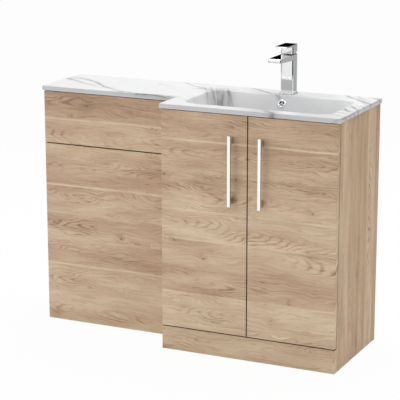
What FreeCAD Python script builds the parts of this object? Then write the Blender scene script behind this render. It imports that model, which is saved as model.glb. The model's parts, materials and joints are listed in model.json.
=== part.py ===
import FreeCAD, Part
import math
import os

V = FreeCAD.Vector
os.makedirs("parts", exist_ok=True)

# Every size is in millimetres. The unit is laid out with x = 0 at the joint between the two
# cabinets, y = 0 at the wall, the front at negative y and z = 0 on the floor. put() then moves
# each finished piece so that the origin is under the centre of the whole unit.

# Cabinets and boards
WC_W = 500.0
WC_D = 236.0
VANITY_W = 600.0
VANITY_D = 360.0
CABINET_H = 800.0
BOARD = 18.0
BACK_BOARD = 8.0
FACE_BOARD = 18.0
EDGE_TOL = 0.01
FACE_GAP = 3.0
FACE_EASE = 0.8
DOOR_STANDOFF = 1.5
DOOR_SIDE_REVEAL = 1.0
PLINTH_H = 78.0
ACCESS_PANEL_H = 175.0

# Inner boards
BASE_Z = 72.0
FRONT_RAIL_H = 60.0
REAR_RAIL_H = 100.0
SERVICE_VOID = 30.0
BACK_BOARD_TOP_DROP = 200.0
GROOVE_DEPTH = 6.0
GROOVE_CLEAR = 0.2
PIPE_CUT_W = 260.0
PIPE_CUT_H = 150.0
PIPE_CUT_CORNER_R = 30.0
SHELF_SHARE = 0.4125
SHELF_FRONT_SETBACK = 24.0
SHELF_SIDE_CLEAR = 1.0
WC_TOP_RAIL_D = 80.0
WC_MID_RAIL_H = 80.0
WC_MID_RAIL_LAP = 21.0
WC_BOTTOM_RAIL_H = 80.0

# Dowels, pins and bolts
DOWEL_R = 4.0
DOWEL_L = 28.0
DOWEL_IN_SIDE = 11.0
DOWEL_CLEAR = 0.1
DOWEL_END_CLEAR = 0.5
SHELF_PIN_R = 2.5
SHELF_PIN_L = 22.0
SHELF_PIN_DEPTH = 9.0
SHELF_PIN_INSET = 45.0
SHELF_HOLE_PITCH = 32.0
SHELF_HOLES_EACH_WAY = 2
UNIT_BOLT_R = 4.0
UNIT_BOLT_HEAD_R = 7.5
UNIT_BOLT_HEAD_T = 2.5
UNIT_BOLT_INSET = 60.0
UNIT_BOLT_LOW_Z = 150.0
UNIT_BOLT_TOP_DROP = 140.0
BOLT_CLEAR = 0.2
BASE_DOWEL_SHARES = (0.15, 0.5, 0.85)
RAIL_DOWEL_SHARES = (0.25, 0.75)
TOP_RAIL_DOWEL_SHARES = (0.4, 0.75)

# Cast top and bowl
TOP_T = 15.0
TOP_OVERHANG = 4.5
TOP_ARRIS = 1.5
BOWL_SIDE_MARGIN = 48.0
BOWL_BACK = 84.0
BOWL_FRONT_MARGIN = 24.0
BOWL_DEPTH = 112.0
BOWL_CORNER_R = 48.0
BOWL_CORNER_LIMIT = 0.45
BOWL_WALL = 8.0
RIM_R = 6.0
RIM_SEARCH = 2.0
BOSS_R = 42.0
BOSS_DROP = 19.0
DUCT_HALF_W = 14.0
DUCT_BACK = 67.5
DUCT_BORE_Y = 78.0
DUCT_BORE_R = 7.0
DUCT_FOOT_R = 5.0
DUCT_FOOT_RISE = 9.0

# Share of the depth, then the insets of the sides as shares of the bowl's half width, the insets of
# the back and the front as shares of its length, then the share of the corner radius
BOWL_STATIONS = [
    (-0.03, -0.006, -0.011, -0.004, 1.0),
    (0.214, 0.048, 0.083, 0.032, 0.96),
    (0.536, 0.127, 0.175, 0.079, 0.96),
    (0.80, 0.246, 0.262, 0.143, 1.04),
    (0.945, 0.405, 0.349, 0.230, 1.0),
    (1.0, 0.563, 0.405, 0.294, 0.667),
]

# Overflow ring
OVERFLOW_DROP = 24.0
OVERFLOW_RING_R = 14.5
OVERFLOW_RING_T = 2.6
OVERFLOW_HOLE_R = 11.0
OVERFLOW_SLEEVE_R = 10.9
OVERFLOW_SLEEVE_L = 9.0
OVERFLOW_OPEN_R = 8.6
OVERFLOW_BAR = 2.2
OVERFLOW_BAR_DEPTH = 2.0
OVERFLOW_SEAT_GAP = 0.15
OVERFLOW_CREST_OFFSET = 0.8
OVERFLOW_BAR_LAP = 0.5
OVERFLOW_BARS = 3
WALL_SLOPE_STEP = 4.0
RAY_MARGIN = 40.0

# Basin waste
WASTE_FLANGE_R = 32.0
WASTE_FLANGE_T = 2.5
WASTE_RECESS_CLEAR = 1.0
WASTE_TUBE_R = 22.0
WASTE_TAIL_R = 20.95
WASTE_TAIL_L = 57.5
WASTE_BORE_R = 17.5
WASTE_TUBE_L = 90.5
WASTE_HOLE_R = 23.0
WASTE_SLOT_W = 13.0
WASTE_SLOT_H = 9.0
WASTE_WASHER_R = 31.0
WASTE_WASHER_T = 4.0
WASTE_NUT_AF = 56.0
WASTE_NUT_T = 10.0
WASTE_THREAD_CLEAR = 0.05
PLUG_R = 30.0
PLUG_LIP_T = 2.2
PLUG_DOME = 3.6
PLUG_STEM_R = 5.0
PLUG_STEM_L = 46.0
PLUG_STEM_CLEAR = 0.05
PLUG_SEAT_GAP = 0.3
SPIDER_DROP = 34.0
SPIDER_T = 5.0
SPIDER_BAR = 3.5
SPIDER_HUB_WALL = 2.5

# Basin mixer
TAP_W = 43.4
TAP_D = 40.0
TAP_Y = -46.0
TAP_CORNER_R = 5.0
TAP_BODY_H = 130.0
TAP_FOOT_MARGIN = 4.5
TAP_FOOT_T = 4.0
TAP_FOOT_CORNER_R = 9.0
TAP_FOOT_ROUND = 1.5
TAP_HOLE_R = 17.5
TAP_SPIGOT_R = 16.0
TAP_SPIGOT_BORE_R = 14.9
TAP_SPIGOT_L = 9.0
SPOUT_L = 105.0
SPOUT_ROOT_T = 18.0
SPOUT_TIP_T = 12.5
SPOUT_EDGE_R = 3.0
WATERWAY_R = 3.0
AERATOR_R = 11.0
AERATOR_T = 8.5
AERATOR_CLEAR = 0.1
AERATOR_FROM_TIP = 19.0
AERATOR_SHOW = 0.6
AERATOR_RIM = 2.0
AERATOR_DISH = 1.0
CARTRIDGE_R = 14.5
CARTRIDGE_H = 48.0
CARTRIDGE_TOP_DROP = 10.0
CARTRIDGE_CLEAR = 0.2
CARTRIDGE_FLOOR = 6.0
CARTRIDGE_NUT_T = 9.0
CARTRIDGE_NUT_BORE_R = 11.5
SWIVEL_R = 10.0
SWIVEL_H = 26.0
SWIVEL_CLEAR = 0.05
SWIVEL_TOP_DROP = 1.0
SWIVEL_PIN_INSET = 1.0
LIFT_AXIS_DROP = 14.0
STEM_W = 7.0
STEM_D = 9.0
STEM_L = 30.0
STEM_SLOT_CLEAR = 0.3
STEM_SLOT_D = 24.0
STEM_PIN_R = 1.5
STEM_PIN_CLEAR = 0.05
STEM_SOCKET_CLEAR = 0.05
LEVER_GAP = 2.6
LEVER_H = 29.4
LEVER_REACH = 51.5
LEVER_PLATE_T = 6.0
LEVER_TIP_T = 3.6
LEVER_RELIEF = 8.6
LEVER_EDGE_R = 1.2
LEVER_CAVITY_R = 13.0
LEVER_CAVITY_H = 9.0
CUT_PAST = 1.0
INLET_R = 5.0
INLET_DEPTH = 14.0
INLET_HALF_SPREAD = 8.6
INLET_Y_OFFSET = 4.5
SUPPLY_WAY_R = 2.2
SUPPLY_WAY_SHIFT = 2.6
STUD_R = 4.0
STUD_L = 75.0
STUD_Y_OFFSET = -9.0
STUD_SEAT = 10.0
CLAMP_R = 20.5
CLAMP_T = 2.5
CLAMP_RUBBER_T = 3.0
CLAMP_SLOT_W = 34.0
CLAMP_HOSE_CLEAR = 1.0
STUD_NUT_AF = 13.0
STUD_NUT_T = 8.0
STUD_CLEAR = 0.05

# Bar handles
HANDLE_L = 226.0
HANDLE_W = 10.0
HANDLE_BAR_T = 9.0
HANDLE_PROJECTION = 30.0
HANDLE_LEG_H = 22.0
HANDLE_BOLT_PITCH = 192.0
HANDLE_FROM_TOP = 175.0
HANDLE_FROM_EDGE = 50.0
HANDLE_EDGE_R = 1.2
HANDLE_BOLT_R = 2.0
HANDLE_BOLT_HEAD_R = 4.2
HANDLE_BOLT_HEAD_T = 2.6
HANDLE_BOLT_DEPTH = 9.0
HANDLE_BOLT_CLEAR = 0.15

# Concealed hinges. Their plan uses u across the cabinet from its outer side face and v forward of
# the cabinet's front edges. A is the pin in the fixed arm, B the pin in the door's cup.
HINGE_FROM_END = 100.0
PIN_A_U = 8.0
PIN_A_V = 10.0
LINK_L = 14.0
CUP_R = 17.5
CUP_DEPTH = 12.0
CUP_CENTRE_U = 21.5
CUP_CLEAR = 0.1
CUP_SLOT_FROM_U = 5.3
CUP_SLOT_TO_U = 36.0
CUP_SLOT_HALF_H = 5.8
CUP_FLOOR = 0.8
CUP_FLANGE_T = 1.0
CUP_FLANGE_HALF_W = 12.0
CUP_FLANGE_HALF_H = 27.0
HINGE_PIN_R = 1.3
HINGE_PIN_CLEAR = 0.05
CUP_PIN_HALF_L = 10.0
LINK_END_R = 2.5
LINK_PLATE_T = 1.2
LINK_ARM_CLEAR = 0.2
ARM_HALF_H = 4.0
ARM_EYE_R = 2.3
ARM_NECK_T = 2.6
ARM_ELBOW_U = 6.0
ARM_ELBOW_V = 3.2
ARM_NECK_SET = 0.6
ARM_NECK_LAP = 2.0
ARM_BODY_T = 9.0
ARM_BODY_FRONT_V = -5.0
ARM_BODY_L = 50.0
PLATE_T = 3.0
PLATE_HALF_H = 14.0
PLATE_WING_HALF_H = 24.0
PLATE_WING_W = 16.0
PLATE_FRONT_V = -18.0
PLATE_L = 42.0

# Small fittings
BUFFER_R = 3.0
BUFFER_T = 1.3
BUFFER_FROM_EDGE = 14.0
BUFFER_TOP_DROP = 12.0
BUFFER_BOTTOM_RISE = 4.5
BLOCK_SIZE = 20.0
BLOCK_L = 30.0
BLOCK_INSET = 130.0
CLIP_SOCKET_R = 6.0
CLIP_SOCKET_DEPTH = 12.0
CLIP_SOCKET_BORE_R = 4.1
CLIP_STUD_R = 4.0
CLIP_STUD_L = 9.0
CLIP_PLATE_R = 7.0
CLIP_PLATE_T = 2.0
CLIP_NECK_R = 3.0
CLIP_INSET_X = 80.0
CLIP_CLEAR = 0.1
BRACKET_T = 2.0
BRACKET_LEG = 30.0
BRACKET_H = 40.0
BRACKET_TOP_DROP = 160.0
BRACKET_HOLE_R = 2.75
BRACKET_HOLE_FROM_CORNER = 19.0

# Places that follow from the sizes above
TOP_Z = CABINET_H + TOP_T
BRACKET_Z = CABINET_H - BRACKET_TOP_DROP
UNIT_BOLT_HIGH_Z = CABINET_H - UNIT_BOLT_TOP_DROP
ACCESS_SPLIT_Z = CABINET_H - 2 * FACE_GAP - ACCESS_PANEL_H
SHELF_TOP_Z = CABINET_H * SHELF_SHARE
BACK_BOARD_H = CABINET_H - BACK_BOARD_TOP_DROP - BASE_Z - BOARD
TOTAL_D = VANITY_D + DOOR_STANDOFF + FACE_BOARD + HANDLE_PROJECTION
DOOR_BACK_Y = -(VANITY_D + DOOR_STANDOFF)
DOOR_FACE_Y = DOOR_BACK_Y - FACE_BOARD
WC_FACE_Y = -(WC_D + FACE_BOARD)
DOOR_Z0 = PLINTH_H + FACE_GAP
DOOR_Z1 = CABINET_H - FACE_GAP
HANDLE_CENTRE_Z = DOOR_Z1 - HANDLE_FROM_TOP
BASIN_X = VANITY_W / 2
BOWL_HALF_W = VANITY_W / 2 - BOWL_SIDE_MARGIN
BOWL_FRONT = VANITY_D - BOWL_FRONT_MARGIN
BOWL_L = BOWL_FRONT - BOWL_BACK
BOWL_Y = -(BOWL_BACK + BOWL_FRONT) / 2
WASTE_Y = BOWL_Y + BOWL_L * (BOWL_STATIONS[-1][3] - BOWL_STATIONS[-1][2]) / 2
BOWL_FLOOR_Z = TOP_Z - BOWL_DEPTH
BOSS_Z = BOWL_FLOOR_Z - BOSS_DROP
TAP_TOP_Z = TOP_Z + TAP_BODY_H
TAP_FRONT_Y = TAP_Y - TAP_D / 2
SPOUT_ROOT_Z = TAP_TOP_Z - SPOUT_ROOT_T
TAP_BACK_Y = TAP_Y + TAP_D / 2
LIFT_AXIS_Z = TAP_TOP_Z - LIFT_AXIS_DROP
PIN_B_U = PIN_A_U + LINK_L
CENTRE_SHIFT = V((WC_W - VANITY_W) / 2, TOTAL_D / 2, 0)
UP = V(0, 0, 1)
BACK = V(0, 1, 0)
FRONT = V(0, -1, 0)
RIGHT = V(1, 0, 0)


def put(node, *solids):
    """Move the finished solids into the unit's own frame and write them as one node."""
    shape = solids[0] if len(solids) == 1 else Part.makeCompound(list(solids))
    shape = shape.copy()
    shape.translate(CENTRE_SHIFT)
    shape.exportStep("parts/" + node + ".step")
    print(node, len(shape.Solids), "solids", round(shape.Volume / 1000, 1), "cm3", shape.isValid())


def block(x0, x1, y0, y1, z0, z1):
    return Part.makeBox(x1 - x0, y1 - y0, z1 - z0, V(x0, y0, z0))


def rod(radius, start, direction, length):
    return Part.makeCylinder(radius, length, start, direction)


def join(first, *others):
    return first.fuse(list(others)).removeSplitter()


def rounded_outline(x0, x1, y0, y1, r, z):
    """A rounded rectangle lying flat at height z."""
    k = r * (1 - math.sqrt(0.5))
    runs = [
        ((x0 + r, y0), (x1 - r, y0)),
        ((x1, y0 + r), (x1, y1 - r)),
        ((x1 - r, y1), (x0 + r, y1)),
        ((x0, y1 - r), (x0, y0 + r)),
    ]
    bends = [(x1 - k, y0 + k), (x1 - k, y1 - k), (x0 + k, y1 - k), (x0 + k, y0 + k)]
    edges = []
    for i, (start, end) in enumerate(runs):
        following = runs[(i + 1) % 4][0]
        edges.append(Part.makeLine(V(*start, z), V(*end, z)))
        edges.append(Part.Arc(V(*end, z), V(*bends[i], z), V(*following, z)).toShape())
    return Part.Wire(edges)


def rounded_prism(x0, x1, y0, y1, r, z0, z1):
    return Part.Face(rounded_outline(x0, x1, y0, y1, r, z0)).extrude(V(0, 0, z1 - z0))


def side_profile(points, x0, x1):
    """A profile in the y-z plane carried across from x0 to x1."""
    corners = [V(x0, y, z) for y, z in points]
    return Part.Face(Part.makePolygon(corners + corners[:1])).extrude(V(x1 - x0, 0, 0))


def plan_profile(points, z0, z1):
    corners = [V(x, y, z0) for x, y in points]
    return Part.Face(Part.makePolygon(corners + corners[:1])).extrude(V(0, 0, z1 - z0))


def hexagon(across_flats, x, y, z0, z1):
    radius = across_flats / math.sqrt(3)
    points = []
    for i in range(6):
        turn = math.radians(60 * i)
        points.append((x + radius * math.cos(turn), y + radius * math.sin(turn)))
    return plan_profile(points, z0, z1)


def eased_board(x0, x1, y0, y1, z0, z1):
    """A decor board whose four front edges are eased."""
    board = block(x0, x1, y0, y1, z0, z1)
    front = [e for e in board.Edges if all(abs(p.Point.y - y0) < EDGE_TOL for p in e.Vertexes)]
    return board.makeFillet(FACE_EASE, front)


# Joinery shared by both cabinets

def vanity_dowel_places():
    base_z = BASE_Z + BOARD / 2
    front_y = -VANITY_D + BOARD / 2
    rear_y = -BOARD / 2
    places = [(-VANITY_D * share, base_z) for share in BASE_DOWEL_SHARES]
    places += [(front_y, CABINET_H - FRONT_RAIL_H * share) for share in RAIL_DOWEL_SHARES]
    places += [(rear_y, CABINET_H - REAR_RAIL_H * share) for share in RAIL_DOWEL_SHARES]
    return places


def wc_mid_rail_z():
    top = ACCESS_SPLIT_Z + WC_MID_RAIL_LAP
    return top - WC_MID_RAIL_H, top


def wc_dowel_places():
    top_z = CABINET_H - BOARD / 2
    front_y = -WC_D + BOARD / 2
    rear_y = -BOARD / 2
    mid_low, mid_high = wc_mid_rail_z()
    places = [(-WC_D + WC_TOP_RAIL_D * share, top_z) for share in TOP_RAIL_DOWEL_SHARES]
    places += [(rear_y, CABINET_H - REAR_RAIL_H * share) for share in RAIL_DOWEL_SHARES]
    places += [(front_y, mid_low + (mid_high - mid_low) * share) for share in RAIL_DOWEL_SHARES]
    places += [(front_y, WC_BOTTOM_RAIL_H * share) for share in RAIL_DOWEL_SHARES]
    return places


def dowel_rods(face_x, inward, places, grow, end_grow):
    """Dowels through a side's inner face at face_x; inward is +1 or -1 into the cabinet."""
    rods = []
    for y, z in places:
        start = V(face_x - inward * (DOWEL_IN_SIDE + end_grow), y, z)
        rods.append(rod(DOWEL_R + grow, start, V(inward, 0, 0), DOWEL_L + 2 * end_grow))
    return rods


def dowel_bores(x0, x1, places):
    bores = dowel_rods(x0, 1, places, DOWEL_CLEAR, DOWEL_END_CLEAR)
    return bores + dowel_rods(x1, -1, places, DOWEL_CLEAR, DOWEL_END_CLEAR)


def vanity_inside():
    return BOARD, VANITY_W - BOARD


def wc_inside():
    return -WC_W + BOARD, -BOARD


def unit_bolt_places():
    ys = (-UNIT_BOLT_INSET, -WC_D + UNIT_BOLT_INSET)
    return [(y, z) for y in ys for z in (UNIT_BOLT_LOW_Z, UNIT_BOLT_HIGH_Z)]


def unit_bolt_bores():
    bores = []
    for y, z in unit_bolt_places():
        bores.append(rod(UNIT_BOLT_R + BOLT_CLEAR, V(-BOARD, y, z), RIGHT, 2 * BOARD))
    return bores


def make_unit_bolts():
    bolts = []
    for y, z in unit_bolt_places():
        shank = rod(UNIT_BOLT_R, V(-BOARD, y, z), RIGHT, 2 * BOARD)
        left_head = rod(UNIT_BOLT_HEAD_R, V(-BOARD - UNIT_BOLT_HEAD_T, y, z), RIGHT, UNIT_BOLT_HEAD_T)
        right_head = rod(UNIT_BOLT_HEAD_R, V(BOARD, y, z), RIGHT, UNIT_BOLT_HEAD_T)
        bolts.append(join(shank, left_head, right_head))
    put("unit_connecting_bolts", *bolts)


# Basin cabinet

def shelf_pin_rows():
    shelf_front = -VANITY_D + SHELF_FRONT_SETBACK
    shelf_back = -SERVICE_VOID - BACK_BOARD
    return shelf_front + SHELF_PIN_INSET, shelf_back - SHELF_PIN_INSET


def shelf_pin_z():
    return SHELF_TOP_Z - BOARD - SHELF_PIN_R


def shelf_pin_bores(face_x, outward):
    bores = []
    for y in shelf_pin_rows():
        for step in range(-SHELF_HOLES_EACH_WAY, SHELF_HOLES_EACH_WAY + 1):
            start = V(face_x, y, shelf_pin_z() + step * SHELF_HOLE_PITCH)
            radius = SHELF_PIN_R + DOWEL_CLEAR
            bores.append(rod(radius, start, V(outward, 0, 0), SHELF_PIN_DEPTH + DOWEL_END_CLEAR))
    return bores


def back_board_groove(face_x, outward):
    reach = sorted((face_x, face_x + outward * (GROOVE_DEPTH + DOWEL_END_CLEAR)))
    rear = -SERVICE_VOID + GROOVE_CLEAR
    front = -SERVICE_VOID - BACK_BOARD - GROOVE_CLEAR
    base_top = BASE_Z + BOARD
    return block(reach[0], reach[1], front, rear, base_top, base_top + BACK_BOARD_H + GROOVE_CLEAR)


def make_vanity_sides():
    x0, x1 = vanity_inside()
    left = block(0, x0, -VANITY_D, 0, 0, CABINET_H)
    right = block(x1, VANITY_W, -VANITY_D, 0, 0, CABINET_H)
    cuts = dowel_bores(x0, x1, vanity_dowel_places())
    left_cuts = shelf_pin_bores(x0, -1) + unit_bolt_bores() + [back_board_groove(x0, -1)]
    right_cuts = shelf_pin_bores(x1, 1) + [back_board_groove(x1, 1)]
    put("vanity_side_left", left.cut(cuts + left_cuts))
    put("vanity_side_right", right.cut(cuts + right_cuts))


def make_vanity_boards():
    x0, x1 = vanity_inside()
    bores = dowel_bores(x0, x1, vanity_dowel_places())
    base = block(x0, x1, -VANITY_D, 0, BASE_Z, BASE_Z + BOARD)
    front_rail = block(x0, x1, -VANITY_D, -VANITY_D + BOARD, CABINET_H - FRONT_RAIL_H, CABINET_H)
    rear_rail = block(x0, x1, -BOARD, 0, CABINET_H - REAR_RAIL_H, CABINET_H)
    put("vanity_base", base.cut(bores))
    put("vanity_front_rail", front_rail.cut(bores))
    put("vanity_rear_rail", rear_rail.cut(bores))
    put("vanity_dowels", *dowel_rods(x0, 1, vanity_dowel_places(), 0, 0),
        *dowel_rods(x1, -1, vanity_dowel_places(), 0, 0))


def make_vanity_back():
    """The back board slides into grooves in both sides and leaves a void for pipes behind it."""
    x0, x1 = vanity_inside()
    z0 = BASE_Z + BOARD
    z1 = z0 + BACK_BOARD_H
    rear = -SERVICE_VOID
    board = block(x0 - GROOVE_DEPTH, x1 + GROOVE_DEPTH, rear - BACK_BOARD, rear, z0, z1)
    half = PIPE_CUT_W / 2
    mouth = block(BASIN_X - half, BASIN_X + half, rear - BACK_BOARD, rear, z1 - PIPE_CUT_H, z1)
    corners = [e for e in mouth.Edges if abs(e.Vertexes[0].Point.z - z1 + PIPE_CUT_H) < EDGE_TOL
               and abs(e.Vertexes[1].Point.z - z1 + PIPE_CUT_H) < EDGE_TOL
               and abs(e.Vertexes[0].Point.y - e.Vertexes[1].Point.y) > EDGE_TOL]
    put("vanity_back_board", board.cut(mouth.makeFillet(PIPE_CUT_CORNER_R, corners)))


def make_shelf():
    x0, x1 = vanity_inside()
    rear = -SERVICE_VOID - BACK_BOARD - SHELF_SIDE_CLEAR
    front = -VANITY_D + SHELF_FRONT_SETBACK
    z1 = SHELF_TOP_Z
    put("vanity_shelf", block(x0 + SHELF_SIDE_CLEAR, x1 - SHELF_SIDE_CLEAR, front, rear, z1 - BOARD, z1))
    pins = []
    for y in shelf_pin_rows():
        for face_x, inward in ((x0, 1), (x1, -1)):
            start = V(face_x - inward * SHELF_PIN_DEPTH, y, shelf_pin_z())
            pins.append(rod(SHELF_PIN_R, start, V(inward, 0, 0), SHELF_PIN_L))
    put("shelf_pins", *pins)


def make_plinth():
    put("vanity_plinth", eased_board(0, VANITY_W, -VANITY_D - FACE_BOARD, -VANITY_D, 0, PLINTH_H))
    blocks = []
    for x in (BLOCK_INSET, VANITY_W - BLOCK_INSET):
        z1 = BASE_Z
        y0 = -VANITY_D
        section = [(y0, z1), (y0, z1 - BLOCK_SIZE), (y0 + BLOCK_SIZE / 2, z1 - BLOCK_SIZE),
                   (y0 + BLOCK_SIZE, z1 - BLOCK_SIZE / 2), (y0 + BLOCK_SIZE, z1)]
        blocks.append(side_profile(section, x - BLOCK_L / 2, x + BLOCK_L / 2))
    put("plinth_blocks", *blocks)


# Doors, handles and concealed hinges

class DoorSide:
    """Turns hinge coordinates u and v into the plan of the left or the right door."""

    def __init__(self, word, outer_x, across):
        self.word = word
        self.outer_x = outer_x
        self.across = across

    def x(self, u):
        return self.outer_x + self.across * u

    def y(self, v):
        return -VANITY_D - v

    def at(self, u, v, z):
        return V(self.x(u), self.y(v), z)

    def span(self, u0, u1, v0, v1, z0, z1):
        x = sorted((self.x(u0), self.x(u1)))
        y = sorted((self.y(v0), self.y(v1)))
        return block(x[0], x[1], y[0], y[1], z0, z1)

    def strip(self, start, end, thickness, z0, z1):
        """A straight bar of the given thickness between two plan points, with round ends."""
        du = end[0] - start[0]
        dv = end[1] - start[1]
        length = math.hypot(du, dv)
        nu = -dv / length * thickness / 2
        nv = du / length * thickness / 2
        plan = [(start[0] + nu, start[1] + nv), (end[0] + nu, end[1] + nv),
                (end[0] - nu, end[1] - nv), (start[0] - nu, start[1] - nv)]
        bar = plan_profile([(self.x(u), self.y(v)) for u, v in plan], z0, z1)
        caps = [rod(thickness / 2, self.at(*p, z0), UP, z1 - z0) for p in (start, end)]
        return join(bar, *caps)


LEFT = DoorSide("left", 0.0, 1)
RIGHT_SIDE = DoorSide("right", VANITY_W, -1)
DOOR_W = (VANITY_W - FACE_GAP) / 2 - DOOR_SIDE_REVEAL


def hinge_heights():
    return DOOR_Z0 + HINGE_FROM_END, DOOR_Z1 - HINGE_FROM_END


def handle_bolt_heights():
    return HANDLE_CENTRE_Z - HANDLE_BOLT_PITCH / 2, HANDLE_CENTRE_Z + HANDLE_BOLT_PITCH / 2


def handle_u():
    return DOOR_SIDE_REVEAL + DOOR_W - HANDLE_FROM_EDGE


def make_door(side):
    x = sorted((side.x(DOOR_SIDE_REVEAL), side.x(DOOR_SIDE_REVEAL + DOOR_W)))
    door = eased_board(x[0], x[1], DOOR_FACE_Y, DOOR_BACK_Y, DOOR_Z0, DOOR_Z1)
    cuts = []
    for z in hinge_heights():
        mouth = side.at(CUP_CENTRE_U, DOOR_STANDOFF, z)
        cuts.append(rod(CUP_R + CUP_CLEAR, mouth, FRONT, CUP_DEPTH + CUP_CLEAR))
    for z in handle_bolt_heights():
        start = V(side.x(handle_u()), DOOR_BACK_Y, z)
        cuts.append(rod(HANDLE_BOLT_R + HANDLE_BOLT_CLEAR, start, FRONT, FACE_BOARD))
    put(side.word + "_door", door.cut(cuts))


def make_handle(side):
    """A square bow: a flat bar on two legs, cast in one piece, drilled from behind."""
    x0 = side.x(handle_u()) - HANDLE_W / 2
    x1 = x0 + HANDLE_W
    tip_y = DOOR_FACE_Y - HANDLE_PROJECTION
    half = HANDLE_L / 2
    bar = block(x0, x1, tip_y, tip_y + HANDLE_BAR_T, HANDLE_CENTRE_Z - half, HANDLE_CENTRE_Z + half)
    bow = bar.makeFillet(HANDLE_EDGE_R, bar.Edges)
    legs = []
    bores = []
    bolts = []
    for z in handle_bolt_heights():
        outline = rounded_outline(x0, x1, z - HANDLE_LEG_H / 2, z + HANDLE_LEG_H / 2, HANDLE_EDGE_R, 0)
        leg = Part.Face(outline).extrude(V(0, 0, HANDLE_PROJECTION - HANDLE_BAR_T / 2))
        leg.rotate(V(0, 0, 0), RIGHT, 90)
        leg.translate(V(0, DOOR_FACE_Y, 0))
        legs.append(leg)
        inner = V(side.x(handle_u()), DOOR_BACK_Y, z)
        reach = FACE_BOARD + HANDLE_BOLT_DEPTH
        bores.append(rod(HANDLE_BOLT_R, inner, FRONT, reach + DOWEL_END_CLEAR))
        head = rod(HANDLE_BOLT_HEAD_R, inner, BACK, HANDLE_BOLT_HEAD_T)
        crown = [e for e in head.Edges if abs(e.BoundBox.YMin - inner.y - HANDLE_BOLT_HEAD_T) < EDGE_TOL]
        head = head.makeFillet(HANDLE_BOLT_HEAD_T / 2, crown)
        bolts.append(join(rod(HANDLE_BOLT_R, inner, FRONT, reach), head))
    put(side.word + "_handle", join(bow, *legs).cut(bores))
    put(side.word + "_handle_bolts", *bolts)


def make_hinge_cups(side):
    cups = []
    pins = []
    for z in hinge_heights():
        mouth = side.at(CUP_CENTRE_U, DOOR_STANDOFF, z)
        cup = rod(CUP_R, mouth, FRONT, CUP_DEPTH)
        v0 = DOOR_STANDOFF - CUP_FLANGE_T
        flange = side.span(CUP_CENTRE_U - CUP_FLANGE_HALF_W, CUP_CENTRE_U + CUP_FLANGE_HALF_W,
                           v0, DOOR_STANDOFF, z - CUP_FLANGE_HALF_H, z + CUP_FLANGE_HALF_H)
        corners = [e for e in flange.Edges if abs(e.Vertexes[0].Point.y - e.Vertexes[1].Point.y) > EDGE_TOL]
        flange = flange.makeFillet(CUP_FLANGE_HALF_W / 2, corners)
        slot = side.span(CUP_SLOT_FROM_U, CUP_SLOT_TO_U, v0, DOOR_STANDOFF + CUP_DEPTH - CUP_FLOOR,
                         z - CUP_SLOT_HALF_H, z + CUP_SLOT_HALF_H)
        pin_base = side.at(PIN_B_U, PIN_A_V, z - CUP_PIN_HALF_L)
        bore = rod(HINGE_PIN_R, pin_base, UP, 2 * CUP_PIN_HALF_L)
        cups.append(join(cup, flange).cut([slot, bore]))
        pins.append(rod(HINGE_PIN_R, pin_base, UP, 2 * CUP_PIN_HALF_L))
    put(side.word + "_hinge_cups", *cups)
    put(side.word + "_cup_pins", *pins)


def make_hinge_links(side):
    """Each link is a pair of plates riveted together by the pin that turns in the arm's eye."""
    links = []
    inner = ARM_HALF_H + LINK_ARM_CLEAR
    outer = inner + LINK_PLATE_T
    for z in hinge_heights():
        rivet = rod(HINGE_PIN_R, side.at(PIN_A_U, PIN_A_V, z - outer), UP, 2 * outer)
        plates = []
        for z0, z1 in ((z - outer, z - inner), (z + inner, z + outer)):
            plates.append(side.strip((PIN_A_U, PIN_A_V), (PIN_B_U, PIN_A_V), 2 * LINK_END_R, z0, z1))
        bore = rod(HINGE_PIN_R + HINGE_PIN_CLEAR, side.at(PIN_B_U, PIN_A_V, z - outer), UP, 2 * outer)
        links.append(join(rivet, *plates).cut(bore))
    put(side.word + "_hinge_links", *links)


def arm_neck_points():
    """The arm bends round the board's corner and reaches into the cup."""
    past_corner = BOARD + PLATE_T + ARM_NECK_T / 2
    elbow = (PIN_A_U + ARM_ELBOW_U, PIN_A_V - ARM_ELBOW_V)
    return [(PIN_A_U, PIN_A_V), elbow, (past_corner - ARM_NECK_SET, 0.0),
            (past_corner + ARM_NECK_LAP, ARM_BODY_FRONT_V - ARM_NECK_T)]


def make_hinge_arms():
    arms = []
    plates = []
    for side in (LEFT, RIGHT_SIDE):
        for z in hinge_heights():
            z0 = z - ARM_HALF_H
            z1 = z + ARM_HALF_H
            points = arm_neck_points()
            neck = [side.strip(a, b, ARM_NECK_T, z0, z1) for a, b in zip(points, points[1:])]
            eye = rod(ARM_EYE_R, side.at(PIN_A_U, PIN_A_V, z0), UP, 2 * ARM_HALF_H)
            floor_u = BOARD + PLATE_T
            v1 = ARM_BODY_FRONT_V
            bar = side.span(floor_u, floor_u + ARM_BODY_T, v1 - ARM_BODY_L, v1, z0, z1)
            upright = [e for e in bar.Edges if abs(e.Vertexes[0].Point.z - e.Vertexes[1].Point.z) > EDGE_TOL
                       and abs(e.Vertexes[0].Point.x - side.x(floor_u + ARM_BODY_T)) < EDGE_TOL]
            bar = bar.makeFillet(ARM_BODY_T / 3, upright)
            bore = rod(HINGE_PIN_R + HINGE_PIN_CLEAR, side.at(PIN_A_U, PIN_A_V, z0), UP, 2 * ARM_HALF_H)
            arms.append(join(bar, eye, *neck).cut(bore))
            rear_v = PLATE_FRONT_V - PLATE_L
            spine = side.span(BOARD, floor_u, rear_v, PLATE_FRONT_V, z - PLATE_HALF_H, z + PLATE_HALF_H)
            mid_v = PLATE_FRONT_V - PLATE_L / 2
            wing = side.span(BOARD, floor_u, mid_v - PLATE_WING_W / 2, mid_v + PLATE_WING_W / 2,
                             z - PLATE_WING_HALF_H, z + PLATE_WING_HALF_H)
            plates.append(join(spine, wing))
    put("hinge_arms", *arms)
    put("hinge_plates", *plates)


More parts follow.
